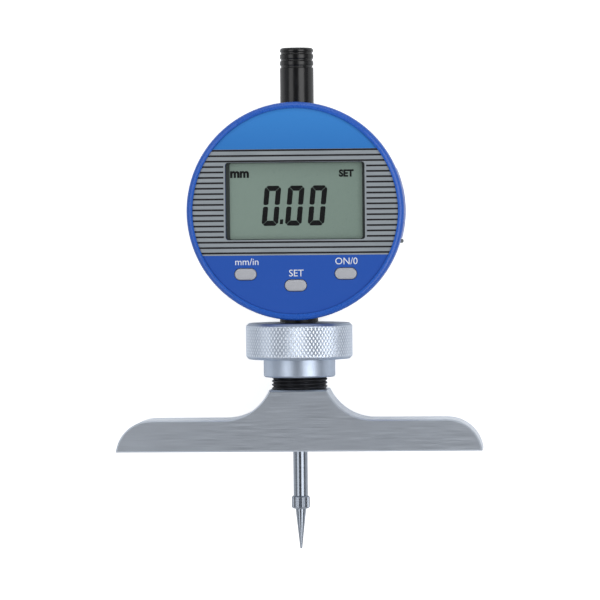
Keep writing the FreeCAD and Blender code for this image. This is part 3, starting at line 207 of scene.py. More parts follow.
def new_piece(name, shapes, body, material, stands_for=(), sharp=30.0):
    """Closed shapes, each of points in millimetres and faces, as one mesh that rides on a body.
    A shape's faces are shifted by the points before it. Doubles are merged and faces turned outwards."""
    points, faces, start = [], [], 0
    for shape_points, shape_faces in shapes:
        points.append(shape_points)
        faces += [[corner + start for corner in face] for face in np.asarray(shape_faces, object).tolist()]
        start += len(shape_points)
    mesh = bpy.data.meshes.new(name)
    mesh.from_pydata((np.vstack(points) * MM).tolist(), [], faces)
    work = bmesh.new()
    work.from_mesh(mesh)
    bmesh.ops.remove_doubles(work, verts=work.verts, dist=1e-7)
    bmesh.ops.dissolve_degenerate(work, edges=work.edges, dist=1e-8)
    bmesh.ops.recalc_face_normals(work, faces=work.faces)
    work.to_mesh(mesh)
    work.free()
    mesh.polygons.foreach_set("use_smooth", [True] * len(mesh.polygons))
    mesh.set_sharp_from_angle(angle=np.radians(sharp))
    mesh.materials.append(material)
    piece = bpy.data.objects.new(name, mesh)
    bpy.context.scene.collection.objects.link(piece)
    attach(piece, body)
    if stands_for:
        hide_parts(*stands_for)
    print(f"{name}: {len(mesh.vertices)} points, {len(mesh.polygons)} faces, rides on {body}")


def paint_node(node, material):
    """A CAD node keeps its shape and gets a finish."""
    nodes[node].data.materials.clear()
    nodes[node].data.materials.append(material)
    print(f"{node}: finish {material.name}")


# %% [markdown]
# ## Base: ground tool steel
#
# The base is a bar of hardened tool steel. Its faces are ground flat, which leaves hair-thin lines
# along the bar and an even satin grey. The lines would be about 0.05 mm apart and would not show,
# so they are drawn three times coarser. The noise is stretched sixty times along the bar, which
# turns its blotches into lines.

# %% Ground steel on the base
ground_steel, tree, place = start_material("ground_tool_steel")
along = add_node(tree, "ShaderNodeMapping", {"Vector": place, "Scale": (100.0, 6000.0, 6000.0)})
lines = add_node(tree, "ShaderNodeTexNoise", {"Vector": along.outputs[0], "Scale": 1.0, "Detail": 2.0})
patches = add_node(tree, "ShaderNodeTexNoise", {"Vector": place, "Scale": 90.0, "Detail": 3.0})
lined = add_node(tree, "ShaderNodeMix", {0: lines.outputs[0], 6: "#C8D0DB", 7: "#DEE4ED"}, data_type="RGBA")
tone = add_node(tree, "ShaderNodeMix", {
    0: patches.outputs[0], 6: lined.outputs[2], 7: "#D5DDE8"}, data_type="RGBA")
rough = add_node(tree, "ShaderNodeMapRange", {
    "Value": lines.outputs[0], **NOISE_RANGE, "To Min": 0.31, "To Max": 0.41})
scratch = add_node(tree, "ShaderNodeBump", {"Height": lines.outputs[0], "Distance": 0.004 * MM})
steel = add_node(tree, "ShaderNodeBsdfPrincipled", {
    "Base Color": tone.outputs[2], "Metallic": 1.0, "Roughness": rough.outputs[0],
    "Normal": scratch.outputs[0]})
add_node(tree, "ShaderNodeOutputMaterial", {"Surface": steel.outputs[0]})
paint_node("base", ground_steel)

# %% [markdown]
# ## Clamp nut: diamond knurl under satin chrome
#
# Turning the nut presses the collet onto the stem. Its grip is rolled between two wheels with
# slanting teeth, which press two crossing sets of grooves and leave small pyramids. The surface is
# therefore the lower of two triangle waves that climb the grip in opposite ways. The plate is dull
# and bluish in the grooves and bright on the crests. This is partly wear and partly a painted
# highlight on the crests with painted shade in the grooves, so the distance from the axis mixes
# the two colours.

# %% Knurled nut
NUT_RADIUS = 14.8
TEETH = 84
DIAMOND_HEIGHT = 1.62
KNURL_DEPTH = 0.13
KNURL_STEEPNESS = 1.5
STEPS = 6
GRIP_FOOT, GRIP_TOP = 26.6, 34.3


def groove_faces(rows, columns, foot):
    """Each square of the grid becomes two triangles. The cut runs along the groove that crosses the
    square: down to the right where row + column is one short of a whole diamond, else up."""
    first, second, third, fourth = grid_faces(rows, columns, wrap_columns=True).T
    row, column = np.divmod(np.arange(len(first)), columns)
    falling = (row - foot + column) % STEPS == STEPS - 1
    return np.vstack([np.stack([first, second, np.where(falling, fourth, third)], axis=-1),
                      np.stack([third, fourth, np.where(falling, second, first)], axis=-1)])


def knurled_nut(columns=TEETH * STEPS):
    """The radius is the lesser of the turned profile's and the knurl's own."""
    lower = rounded_corners([(7.85, 24), (7.85, 20.4), (9.55, 20.4), (9.95, 20.8), (9.95, 25.4),
                             (14.0, 25.4), (NUT_RADIUS, 26.2), (NUT_RADIUS, 26.5)], 0.12, 3)
    heights = np.arange(GRIP_FOOT, GRIP_TOP, DIAMOND_HEIGHT / STEPS)
    grip = np.stack([np.full_like(heights, NUT_RADIUS), heights], axis=-1)
    upper = rounded_corners([(NUT_RADIUS, 34.45), (NUT_RADIUS, 34.6), (14.0, 35.4), (4.6, 35.4), (4.6, 33.7),
                             (5.3, 33.7), (5.3, 33.2), (7.85, 28.0), (7.85, 24)], 0.12, 3)
    profile = np.vstack([lower, grip, upper])
    angle = full_turn(columns)
    height = profile[:, 1:] + 0 * angle
    along, around = (height - GRIP_FOOT) / DIAMOND_HEIGHT, TEETH * angle / (2 * np.pi)
    pyramid = np.minimum(triangle_wave(around + along), triangle_wave(around - along))
    radius = np.minimum(profile[:, :1], grooved(NUT_RADIUS, KNURL_DEPTH, pyramid, KNURL_STEEPNESS))
    return turned(radius, height, angle), groove_faces(len(profile), columns, len(lower))


satin_chrome, tree, place = start_material("satin_chrome_plate")
haze = add_node(tree, "ShaderNodeTexNoise", {"Vector": place, "Scale": 330.0, "Detail": 3.0})
grit = add_node(tree, "ShaderNodeTexNoise", {"Vector": place, "Scale": 2000.0})
flat = add_node(tree, "ShaderNodeMapping", {"Vector": place, "Scale": (1.0, 0.0, 1.0)})
reach = add_node(tree, "ShaderNodeVectorMath", {0: flat.outputs[0]}, operation="LENGTH")
# Wear and painted light: crests are painted bright as a highlight, and grooves dull as shade.
crest_wear_and_painted_light = add_node(tree, "ShaderNodeMapRange", {
    "Value": reach.outputs["Value"], "From Min": (NUT_RADIUS - KNURL_DEPTH) * MM,
    "From Max": NUT_RADIUS * MM})
plate = add_node(tree, "ShaderNodeMix", {0: haze.outputs[0], 6: "#AFBBCC", 7: "#C3CEDE"}, data_type="RGBA")
tone = add_node(tree, "ShaderNodeMix", {
    0: crest_wear_and_painted_light.outputs[0], 6: plate.outputs[2], 7: "#E9F0FA"}, data_type="RGBA")
rough = add_node(tree, "ShaderNodeMapRange", {
    "Value": grit.outputs[0], **NOISE_RANGE, "To Min": 0.39, "To Max": 0.43})
chrome = add_node(tree, "ShaderNodeBsdfPrincipled", {
    "Base Color": tone.outputs[2], "Metallic": 1.0, "Roughness": rough.outputs[0]})
add_node(tree, "ShaderNodeOutputMaterial", {"Surface": chrome.outputs[0]})
new_piece("knurled_nut", [knurled_nut()], "nut", satin_chrome, ["clamp_nut"])

# %% [markdown]
# ## Collet bush: a black thread under the nut
#
# The bush is screwed into the base and blackened in a hot oxide bath, which leaves dark steel with
# a dull sheen. Four slits part its upper end into fingers. The thread is one groove that climbs
# 1 mm a turn, so its depth depends on the height less the share of a turn.

# %% Threaded bush
THREAD_RADIUS = 7.75
THREAD_PITCH = 1.0
THREAD_DEPTH = 0.52
THREAD_STEEPNESS = 1.2
THREAD_STEPS = 10
BORE_RADIUS, SPIGOT_RADIUS, CONE_TOP_RADIUS = 4.05, 5.5, 5.2
SPIGOT_FOOT, BORE_SEAM, THREAD_FOOT, SLIT_FOOT, THREAD_TOP, BUSH_TOP = 8.0, 12.0, 17.0, 22.0, 28.0, 33.2
SLIT_HALF_WIDTH = 0.5


def threaded(radius, height, angle):
    """r is the lesser of the profile and the thread's radius at height / pitch - angle / turn."""
    wave = triangle_wave(height / THREAD_PITCH - angle / (2 * np.pi))
    return np.minimum(radius, grooved(THREAD_RADIUS, THREAD_DEPTH, wave, THREAD_STEEPNESS))


def bush_sleeve(columns=144):
    """The closed lower part of the bush, thread and all, up to the foot of the slits."""
    lower = rounded_corners([(BORE_RADIUS, BORE_SEAM), (BORE_RADIUS, SPIGOT_FOOT),
                             (SPIGOT_RADIUS, SPIGOT_FOOT), (SPIGOT_RADIUS, THREAD_FOOT),
                             (7.7, THREAD_FOOT)], 0.1)
    heights = np.arange(THREAD_FOOT, SLIT_FOOT + 0.01, THREAD_PITCH / THREAD_STEPS)
    outer = np.stack([np.full_like(heights, THREAD_RADIUS), heights], axis=-1)
    profile = np.vstack([lower, outer, [(BORE_RADIUS, SLIT_FOOT), (BORE_RADIUS, BORE_SEAM)]])
    angle = full_turn(columns)
    height = profile[:, 1:] + 0 * angle
    radius = threaded(profile[:, :1] + 0 * angle, height, angle)
    return turned(radius, height, angle), grid_faces(len(profile), columns, wrap_columns=True).tolist()


def bush_finger(quarter, columns=37):
    """One finger: its loop is carried over a quarter turn, held off each slit by asin(half width / r)."""
    heights = np.arange(SLIT_FOOT, THREAD_TOP + 0.01, THREAD_PITCH / THREAD_STEPS)
    outer = np.stack([np.full_like(heights, THREAD_RADIUS), heights], axis=-1)
    loop = np.vstack([outer, [(CONE_TOP_RADIUS, BUSH_TOP), (BORE_RADIUS, BUSH_TOP),
                              (BORE_RADIUS, SLIT_FOOT)]])
    share = np.linspace(0, 1, columns)
    edge = np.arcsin(SLIT_HALF_WIDTH / loop[:, :1])
    angle = quarter * np.pi / 2 + edge + (np.pi / 2 - 2 * edge) * share
    height = loop[:, 1:] + 0 * share
    radius = threaded(loop[:, :1] + 0 * share, height, angle)
    faces = grid_faces(len(loop), columns, wrap_rows=True).tolist()
    ends = np.arange(len(loop)) * columns
    return turned(radius, height, angle), faces + [ends.tolist(), (ends + columns - 1)[::-1].tolist()]


black_oxide, tree, place = start_material("black_oxide_steel")
wear = add_node(tree, "ShaderNodeTexNoise", {"Vector": place, "Scale": 830.0, "Detail": 3.0})
tone = add_node(tree, "ShaderNodeMix", {0: wear.outputs[0], 6: "#141418", 7: "#3B3D42"}, data_type="RGBA")
rough = add_node(tree, "ShaderNodeMapRange", {
    "Value": wear.outputs[0], **NOISE_RANGE, "To Min": 0.32, "To Max": 0.46})
oxide = add_node(tree, "ShaderNodeBsdfPrincipled", {
    "Base Color": tone.outputs[2], "Metallic": 0.6, "Roughness": rough.outputs[0]})
add_node(tree, "ShaderNodeOutputMaterial", {"Surface": oxide.outputs[0]})
new_piece("threaded_bush", [bush_sleeve()] + [bush_finger(quarter) for quarter in range(4)],
          "depth_base", black_oxide, ["collet_bush"])
paint_node("stem", black_oxide)

# %% [markdown]
# ## Spindle and contact point
#
# The spindle is ground and polished, so it mirrors the room along its length. The needle screws
# into its end with a small collar, which has straight ridges for the fingers.

# %% Contact point with a ridged collar
COLLAR_RADIUS = 2.5
RIDGES = 36
RIDGE_DEPTH = 0.14
RIDGE_STEEPNESS = 1.5


def needle_point(columns=RIDGES * 8):
    """The turned profile, with the collar's radius cut by a triangle wave of the angle alone."""
    turn = np.linspace(0, np.pi / 2, 7)
    ball = np.stack([0.3 * np.sin(turn), -27.1 - 0.3 * np.cos(turn)], axis=-1)
    rest = rounded_corners([(0.3, -27.1), (1.5, -16.2), (2.15, -16.2), (2.5, -15.85), (2.5, -13.0),
                            (2.15, -12.65), (1.25, -12.65), (1.25, -7.65), (0.6, -7.65)], 0.08)
    profile = np.vstack([ball, rest[1:], [(0.0, -7.65)]])
    angle = full_turn(columns)
    height = profile[:, 1:] + 0 * angle
    wave = triangle_wave(RIDGES * angle / (2 * np.pi))
    radius = np.minimum(profile[:, :1], grooved(COLLAR_RADIUS, RIDGE_DEPTH, wave, RIDGE_STEEPNESS))
    return turned(radius, height, angle), grid_faces(len(profile), columns, wrap_columns=True)


polished_steel, tree, place = start_material("polished_tool_steel")
around = add_node(tree, "ShaderNodeMapping", {"Vector": place, "Scale": (170.0, 5000.0, 170.0)})
rings = add_node(tree, "ShaderNodeTexNoise", {"Vector": around.outputs[0], "Scale": 1.0, "Detail": 2.0})
tone = add_node(tree, "ShaderNodeMix", {0: rings.outputs[0], 6: "#868D98", 7: "#A6ADB7"}, data_type="RGBA")
rough = add_node(tree, "ShaderNodeMapRange", {
    "Value": rings.outputs[0], **NOISE_RANGE, "To Min": 0.14, "To Max": 0.24})
polish = add_node(tree, "ShaderNodeBsdfPrincipled", {
    "Base Color": tone.outputs[2], "Metallic": 1.0, "Roughness": rough.outputs[0]})
add_node(tree, "ShaderNodeOutputMaterial", {"Surface": polish.outputs[0]})
new_piece("needle_point", [needle_point()], "measuring_spindle", polished_steel,
          ["contact_point"])
paint_node("spindle", polished_steel)

# %% [markdown]
# ## Case: silver grey paint
#
# The ring-shaped case and its cover are cast and sprayed silver grey. The paint dries with a fine
# pebble and holds metal flakes, so it is half way between a plastic and a metal.

# %% Silver paint
silver_paint, tree, place = start_material("silver_spray_paint")
pebble = add_node(tree, "ShaderNodeTexNoise", {"Vector": place, "Scale": 4000.0, "Detail": 3.0})
tone = add_node(tree, "ShaderNodeMix", {0: pebble.outputs[0], 6: "#A5A8AD", 7: "#CACDD1"}, data_type="RGBA")
rough = add_node(tree, "ShaderNodeMapRange", {
    "Value": pebble.outputs[0], **NOISE_RANGE, "To Min": 0.32, "To Max": 0.46})
relief = add_node(tree, "ShaderNodeBump", {"Height": pebble.outputs[0], "Distance": 0.012 * MM})
paint = add_node(tree, "ShaderNodeBsdfPrincipled", {
    "Base Color": tone.outputs[2], "Metallic": 0.55, "Roughness": rough.outputs[0],
    "Normal": relief.outputs[0]})
add_node(tree, "ShaderNodeOutputMaterial", {"Surface": paint.outputs[0]})
for node in ("rear_case", "rear_cover"):
    paint_node(node, silver_paint)

# %% [markdown]
# ## Bezel and cell drawer: blue ABS
#
# Both are moulded in blue ABS against a polished mould, so they are glossy, with the faint waves
# that the plastic keeps as it cools.

# %% Blue ABS
blue_abs, tree, place = start_material("glossy_blue_abs")
waves = add_node(tree, "ShaderNodeTexNoise", {"Vector": place, "Scale": 620.0, "Detail": 3.0})
skin = add_node(tree, "ShaderNodeTexNoise", {"Vector": place, "Scale": 2500.0})
tone = add_node(tree, "ShaderNodeMix", {0: waves.outputs[0], 6: "#205AB9", 7: "#2761C8"}, data_type="RGBA")
rough = add_node(tree, "ShaderNodeMapRange", {
    "Value": skin.outputs[0], **NOISE_RANGE, "To Min": 0.24, "To Max": 0.34})
relief = add_node(tree, "ShaderNodeBump", {"Height": waves.outputs[0], "Distance": 0.0015 * MM})
plastic = add_node(tree, "ShaderNodeBsdfPrincipled", {
    "Base Color": tone.outputs[2], "Roughness": rough.outputs[0], "Normal": relief.outputs[0]})
add_node(tree, "ShaderNodeOutputMaterial", {"Surface": plastic.outputs[0]})
for node in ("front_cover", "battery_drawer"):
    paint_node(node, blue_abs)

# %% [markdown]
# ## Dust cap: black ABS
#
# The cap is moulded in black ABS, a little duller than the bezel. The plastic ran along the cap as
# it filled the mould, so its marks are drawn out four times along the axis.

# %% Black ABS
black_abs, tree, place = start_material("satin_black_abs")
along = add_node(tree, "ShaderNodeMapping", {"Vector": place, "Scale": (2000.0, 500.0, 2000.0)})
flow = add_node(tree, "ShaderNodeTexNoise", {"Vector": along.outputs[0], "Scale": 1.0, "Detail": 3.0})
tone = add_node(tree, "ShaderNodeMix", {0: flow.outputs[0], 6: "#060607", 7: "#141416"}, data_type="RGBA")
rough = add_node(tree, "ShaderNodeMapRange", {
    "Value": flow.outputs[0], **NOISE_RANGE, "To Min": 0.20, "To Max": 0.26})
relief = add_node(tree, "ShaderNodeBump", {"Height": flow.outputs[0], "Distance": 0.004 * MM})
plastic = add_node(tree, "ShaderNodeBsdfPrincipled", {
    "Base Color": tone.outputs[2], "Roughness": rough.outputs[0], "Normal": relief.outputs[0]})
add_node(tree, "ShaderNodeOutputMaterial", {"Surface": plastic.outputs[0]})
paint_node("dust_cap", black_abs)

# %% [markdown]
# ## Face plate: printed and brushed aluminium
#
# The face plate is a round aluminium sheet. Its middle band is left silver and brushed sideways,
# with a row of sunken dark lines. Above the band it is light blue, lighter towards the top, and
# below the band a darker blue. The height on the dial, compared with the levels where the bands
# meet, picks the colour, and the depth tells the sunken lines from the ribs between them.

# %% Face plate finish
DIAL = 66.4
BAND_TOP, BAND_BOTTOM = 17.05, -12.1
FACE_FRONT, LINE_FLOOR = 12.0, 11.8

face_print, tree, place = start_material("printed_aluminium")
parts = add_node(tree, "ShaderNodeSeparateXYZ", {0: place}).outputs
above_band = add_node(tree, "ShaderNodeMath", {
    0: parts["Y"], 1: (DIAL + BAND_TOP) * MM}, operation="GREATER_THAN")
over_print = add_node(tree, "ShaderNodeMath", {0: parts["Y"], 1: (DIAL + BAND_BOTTOM) * MM},
                      operation="GREATER_THAN")
in_band = add_node(tree, "ShaderNodeMath", {0: over_print.outputs[0], 1: above_band.outputs[0]},
                   operation="SUBTRACT")
sunken = add_node(tree, "ShaderNodeMath", {0: parts["Z"], 1: (FACE_FRONT + LINE_FLOOR) / 2 * MM},
                  operation="LESS_THAN")
dark = add_node(tree, "ShaderNodeMath", {0: sunken.outputs[0], 1: in_band.outputs[0]}, operation="MULTIPLY")
shine = add_node(tree, "ShaderNodeMath", {0: in_band.outputs[0], 1: 0.5}, operation="MULTIPLY")
sideways = add_node(tree, "ShaderNodeMapping", {"Vector": place, "Scale": (100.0, 8000.0, 8000.0)})
brushed = add_node(tree, "ShaderNodeTexNoise", {"Vector": sideways.outputs[0], "Scale": 1.0, "Detail": 2.0})
rise = add_node(tree, "ShaderNodeMapRange", {"Value": parts["Y"], "From Min": (DIAL + BAND_TOP) * MM,
                                             "From Max": (DIAL + 28.0) * MM})
sky = add_node(tree, "ShaderNodeMix", {0: rise.outputs[0], 6: "#2E7CCB", 7: "#398BDA"}, data_type="RGBA")
silver = add_node(tree, "ShaderNodeMix", {
    0: brushed.outputs[0], 6: "#9EA7AE", 7: "#BFC7CD"}, data_type="RGBA")
printed = add_node(tree, "ShaderNodeMix", {0: above_band.outputs[0], 6: "#2155B4", 7: sky.outputs[2]},
                   data_type="RGBA")
banded = add_node(tree, "ShaderNodeMix", {0: in_band.outputs[0], 6: printed.outputs[2], 7: silver.outputs[2]},
                  data_type="RGBA")
tone = add_node(tree, "ShaderNodeMix", {
    0: dark.outputs[0], 6: banded.outputs[2], 7: "#2F2D30"}, data_type="RGBA")
rough = add_node(tree, "ShaderNodeMapRange", {
    "Value": brushed.outputs[0], **NOISE_RANGE, "To Min": 0.30, "To Max": 0.40})
sheet = add_node(tree, "ShaderNodeBsdfPrincipled", {
    "Base Color": tone.outputs[2], "Metallic": shine.outputs[0], "Roughness": rough.outputs[0]})
add_node(tree, "ShaderNodeOutputMaterial", {"Surface": sheet.outputs[0]})
paint_node("face_plate", face_print)

# %% [markdown]
# ## Lens: clear acrylic
#
# The window is moulded in clear acrylic, which bends light like most clear plastics, by 1.49. A
# lens in front of the display would also keep the lamps off it, because light bent through glass
# finds a small lamp only by chance. So only the camera's rays, and those that already pass through
# something clear, meet the acrylic. All others pass straight.

# %% Lens
clear_acrylic, tree, place = start_material("clear_acrylic")
haze = add_node(tree, "ShaderNodeTexNoise", {"Vector": place, "Scale": 170.0})
rough = add_node(tree, "ShaderNodeMapRange", {
    "Value": haze.outputs[0], **NOISE_RANGE, "To Min": 0.02, "To Max": 0.05})
acrylic = add_node(tree, "ShaderNodeBsdfPrincipled", {
    "Base Color": "#FFFFFF", "Roughness": rough.outputs[0], "IOR": 1.49, "Transmission Weight": 1.0})
rays = add_node(tree, "ShaderNodeLightPath").outputs
looked_at = add_node(tree, "ShaderNodeMath", {0: rays["Is Camera Ray"], 1: rays["Is Transmission Ray"]},
                     operation="MAXIMUM")
straight = add_node(tree, "ShaderNodeBsdfTransparent", {"Color": "#F6F9F8"})
either = add_node(tree, "ShaderNodeMixShader", {0: looked_at.outputs[0], 1: straight.outputs[0],
                                                2: acrylic.outputs[0]})
add_node(tree, "ShaderNodeOutputMaterial", {"Surface": either.outputs[0]})
paint_node("lens", clear_acrylic)

# %% [markdown]
# ## Display glass and its dark figures
#
# The liquid crystal lies between two glasses with a reflector behind them, which gives the
# grey-green. Painted shade makes it lighter at the left and darker towards the right. Each figure
# is a zero of six bars, which meet in mitres at the corners and lean by five and a half degrees.
# Bars are dark films in the glass, so they are modelled as plates a hundredth of a millimetre
# thick, just in front of it. A black foam frame between glass and lens keeps dust out. It shows
# along the left of the window, where it stands for the shadow that the window's edge casts on
# the glass: a painted shadow.

# %% Display glass
GLASS_HALF = 19

display_glass, tree, place = start_material("liquid_crystal_glass")
parts = add_node(tree, "ShaderNodeSeparateXYZ", {0: place}).outputs
across = add_node(tree, "ShaderNodeMapRange", {"Value": parts["X"], "From Min": -GLASS_HALF * MM,
                                               "From Max": GLASS_HALF * MM})
dust = add_node(tree, "ShaderNodeTexNoise", {"Vector": place, "Scale": 2900.0, "Detail": 3.0})
# Painted shade: the glass is lighter at the left and darker towards the right.
painted_shade_across = add_node(tree, "ShaderNodeMix", {0: across.outputs[0], 6: "#94A59B", 7: "#899A90"}, data_type="RGBA")
fleck = add_node(tree, "ShaderNodeMix", {0: dust.outputs[0], 6: "#8A9A91", 7: "#98A89F"}, data_type="RGBA")
tone = add_node(tree, "ShaderNodeMix", {0: 0.3, 6: painted_shade_across.outputs[2], 7: fleck.outputs[2]}, data_type="RGBA")
rough = add_node(tree, "ShaderNodeMapRange", {
    "Value": dust.outputs[0], **NOISE_RANGE, "To Min": 0.26, "To Max": 0.36})
glass = add_node(tree, "ShaderNodeBsdfPrincipled", {
    "Base Color": tone.outputs[2], "Roughness": rough.outputs[0]})
add_node(tree, "ShaderNodeOutputMaterial", {"Surface": glass.outputs[0]})
paint_node("lcd_module", display_glass)

# %% Figures of the display
DISPLAY_FRONT = 10.2
DIGIT_WIDTH, DIGIT_HEIGHT, STROKE, CHAMFER = 4.55, 11.0, 1.42, 0.8
MITRE_GAP, MIDDLE_GAP, TIP = 0.05, 0.25, 0.3
DIGIT_SLANT = np.tan(np.radians(5.5))
DIGIT_BASE = -4.0
DIGIT_LEFTS = (-9.4, -2.95, 3.3)
POINT_MIDDLE, POINT_RISE = -3.85, 1.1
FILM, FILM_GAP = 0.01, 0.005
CLEARANCE = 0.01


def zero_bars():
    """The top bar and the upper left bar of a digit meet on the line from the outer corner to the
    inner one. The other four are these two mirrored: x becomes width - x, y becomes height - y."""
    half, top, middle = CHAMFER / 2, DIGIT_HEIGHT, DIGIT_HEIGHT / 2 + MIDDLE_GAP
    across = np.array([(half + MITRE_GAP, top - half), (CHAMFER, top), (DIGIT_WIDTH - CHAMFER, top),
                       (DIGIT_WIDTH - half - MITRE_GAP, top - half),
                       (DIGIT_WIDTH - STROKE - MITRE_GAP, top - STROKE), (STROKE + MITRE_GAP, top - STROKE)])
    upright = np.array([(half, top - half - MITRE_GAP), (0, top - CHAMFER), (0, middle + TIP), (TIP, middle),
                        (STROKE - TIP, middle), (STROKE, middle + TIP), (STROKE, top - STROKE - MITRE_GAP)])
    flip_x, flip_y = np.array([-1, 1]), np.array([1, -1])
    right, low = np.array([DIGIT_WIDTH, 0]), np.array([0, DIGIT_HEIGHT])
    return [across, across * flip_y + low, upright, upright * flip_x + right, upright * flip_y + low,
            upright * flip_x * flip_y + right + low]


def film(outline, level):
    """A flat outline as a thin closed plate: the outline at two levels, with a wall of faces between."""
    count = len(outline)
    low = np.column_stack([outline, np.full(count, level)])
    high = np.column_stack([outline, np.full(count, level + FILM)])
    index = np.arange(count)
    after = (index + 1) % count
    walls = np.stack([index, after, after + count, index + count], axis=-1).tolist()
    return np.vstack([low, high]), walls + [index[::-1].tolist(), (index + count).tolist()]


def figure_films():
    """Each bar leans by x + slant y and moves to its digit's place. The point is one leaning box."""
    films = []
    for left in DIGIT_LEFTS:
        for outline in zero_bars():
            leaned = outline + np.stack([outline[:, 1] * DIGIT_SLANT, 0 * outline[:, 1]], axis=-1)
            films.append(film(leaned + [left, DIAL + DIGIT_BASE], DISPLAY_FRONT + FILM_GAP))
    point = np.array([(-0.5, -0.65), (0.38, -0.65), (0.5, 0.65), (-0.38, 0.65)])
    films.append(film(point + [POINT_MIDDLE, DIAL + DIGIT_BASE + POINT_RISE], DISPLAY_FRONT + FILM_GAP))
    return films


dark_film, tree, place = start_material("dark_liquid_crystal")
density = add_node(tree, "ShaderNodeTexNoise", {"Vector": place, "Scale": 2500.0})
tone = add_node(tree, "ShaderNodeMix", {
    0: density.outputs[0], 6: "#050506", 7: "#0E0F10"}, data_type="RGBA")
crystal = add_node(tree, "ShaderNodeBsdfPrincipled", {
    "Base Color": tone.outputs[2], "Roughness": 0.4, "Specular IOR Level": 0.1})
add_node(tree, "ShaderNodeOutputMaterial", {"Surface": crystal.outputs[0]})
new_piece("display_figures", figure_films(), "head", dark_film)

# %% Foam frame round the display, and a painted shadow along the window's left
# The inner edge reaches further in on the left, so the dark frame shows there as a painted shadow.
FRAME_INNER = (-18.05, 18.45, -7.75, 13.35)
FRAME_OUTER = (-19.9, 19.9, -8.5, 14.1)
FRAME_THICKNESS = 0.25


def round_box(left, right, low, high, radius, steps=6):
    """Corner centres plus radius (cos a, sin a), a quarter turn at each corner of a box."""
    turn = np.linspace(0, np.pi / 2, steps)
    centres = np.array([(right - radius, high - radius), (left + radius, high - radius),
                        (left + radius, low + radius), (right - radius, low + radius)])
    angles = turn[None, :] + np.arange(4)[:, None] * np.pi / 2
    ring = np.stack([np.cos(angles), np.sin(angles)], axis=-1) * radius
    return (centres[:, None, :] + ring).reshape(-1, 2) + [0, DIAL]


def foam_and_shadow_frame():
    """Four rings of points, outer and inner at two levels, joined in a closed loop of faces."""
    outer, inner = round_box(*FRAME_OUTER, 0.9), round_box(*FRAME_INNER, 0.7)
    low, high = DISPLAY_FRONT + CLEARANCE, DISPLAY_FRONT + FRAME_THICKNESS
    rings = [np.column_stack([ring, np.full(len(ring), level)])
             for ring, level in ((outer, low), (outer, high), (inner, high), (inner, low))]
    return np.vstack(rings), grid_faces(4, len(outer), wrap_rows=True, wrap_columns=True)


# Dark foam that also serves as the painted shadow along the window's left.
foam_and_shadow, tree, place = start_material("black_foam_and_painted_shadow")
cells = add_node(tree, "ShaderNodeTexNoise", {"Vector": place, "Scale": 5000.0})
tone = add_node(tree, "ShaderNodeMix", {0: cells.outputs[0], 6: "#2A2E2E", 7: "#4A5150"}, data_type="RGBA")
pores = add_node(tree, "ShaderNodeBump", {"Height": cells.outputs[0], "Distance": 0.05 * MM})
rubber = add_node(tree, "ShaderNodeBsdfPrincipled", {
    "Base Color": tone.outputs[2], "Roughness": 0.9, "Normal": pores.outputs[0]})
add_node(tree, "ShaderNodeOutputMaterial", {"Surface": rubber.outputs[0]})
new_piece("display_foam_and_shadow", [foam_and_shadow_frame()], "head", foam_and_shadow)

# %% [markdown]
# ## Words on the display and by the keys
#
# Words start as text objects with a little thickness. A text's outline is made a mesh of its own
# before it is moved, so that its object stays at the origin like every other piece.

# %% Words
LETTER_DEPTH, CURVE_STEPS = 0.003, 4


def word(name, text, middle, height, level, material, bold=0.0):
    """Each point is (point - middle of the text) height / own height, moved to a place on the dial."""
    curve = bpy.data.curves.new(name, "FONT")
    curve.body, curve.offset, curve.extrude, curve.resolution_u = text, bold, LETTER_DEPTH, CURVE_STEPS
    source = bpy.data.objects.new(name + "_text", curve)
    mesh = bpy.data.meshes.new_from_object(source)
    bpy.data.objects.remove(source)
    points = np.empty(len(mesh.vertices) * 3)
    mesh.vertices.foreach_get("co", points)
    points = points.reshape(-1, 3)
    low, high = points.min(0), points.max(0)
    scaled = (points - (low + high) / 2) * height / (high[1] - low[1])
    faces = [list(polygon.vertices) for polygon in mesh.polygons]
    bpy.data.meshes.remove(mesh)
    new_piece(name, [(scaled + [middle[0], DIAL + middle[1], level], faces)], "head", material)


white_print, tree, place = start_material("white_screen_print")
ink = add_node(tree, "ShaderNodeTexNoise", {"Vector": place, "Scale": 6700.0})
tone = add_node(tree, "ShaderNodeMix", {0: ink.outputs[0], 6: "#DCE2E8", 7: "#FFFFFF"}, data_type="RGBA")
lacquer = add_node(tree, "ShaderNodeBsdfPrincipled", {"Base Color": tone.outputs[2], "Roughness": 0.45})
add_node(tree, "ShaderNodeOutputMaterial", {"Surface": lacquer.outputs[0]})
word("display_unit", "mm", (-15.3, 10.2), 1.9, DISPLAY_FRONT + CLEARANCE, dark_film,
     bold=0.05)
word("display_mode", "SET", (14.1, 10.3), 2.05, DISPLAY_FRONT + CLEARANCE, dark_film,
     bold=0.05)
word("unit_word", "mm/in", (-13.4, -13.8), 1.85, FACE_FRONT + CLEARANCE, white_print)
word("set_word", "SET", (0.2, -17.0), 1.85, FACE_FRONT + CLEARANCE, white_print)
word("zero_word", "ON/0", (14.0, -13.8), 1.85, FACE_FRONT + CLEARANCE, white_print)

# %% [markdown]
# ## Keys
#
# Each key is moulded in grey ABS with a slightly domed top. Its outline is a stadium: two half
# circles joined by straight sides. The key is that outline carried through a list of levels, each
# with its own end radius and straight length, down to the round foot over the switch.

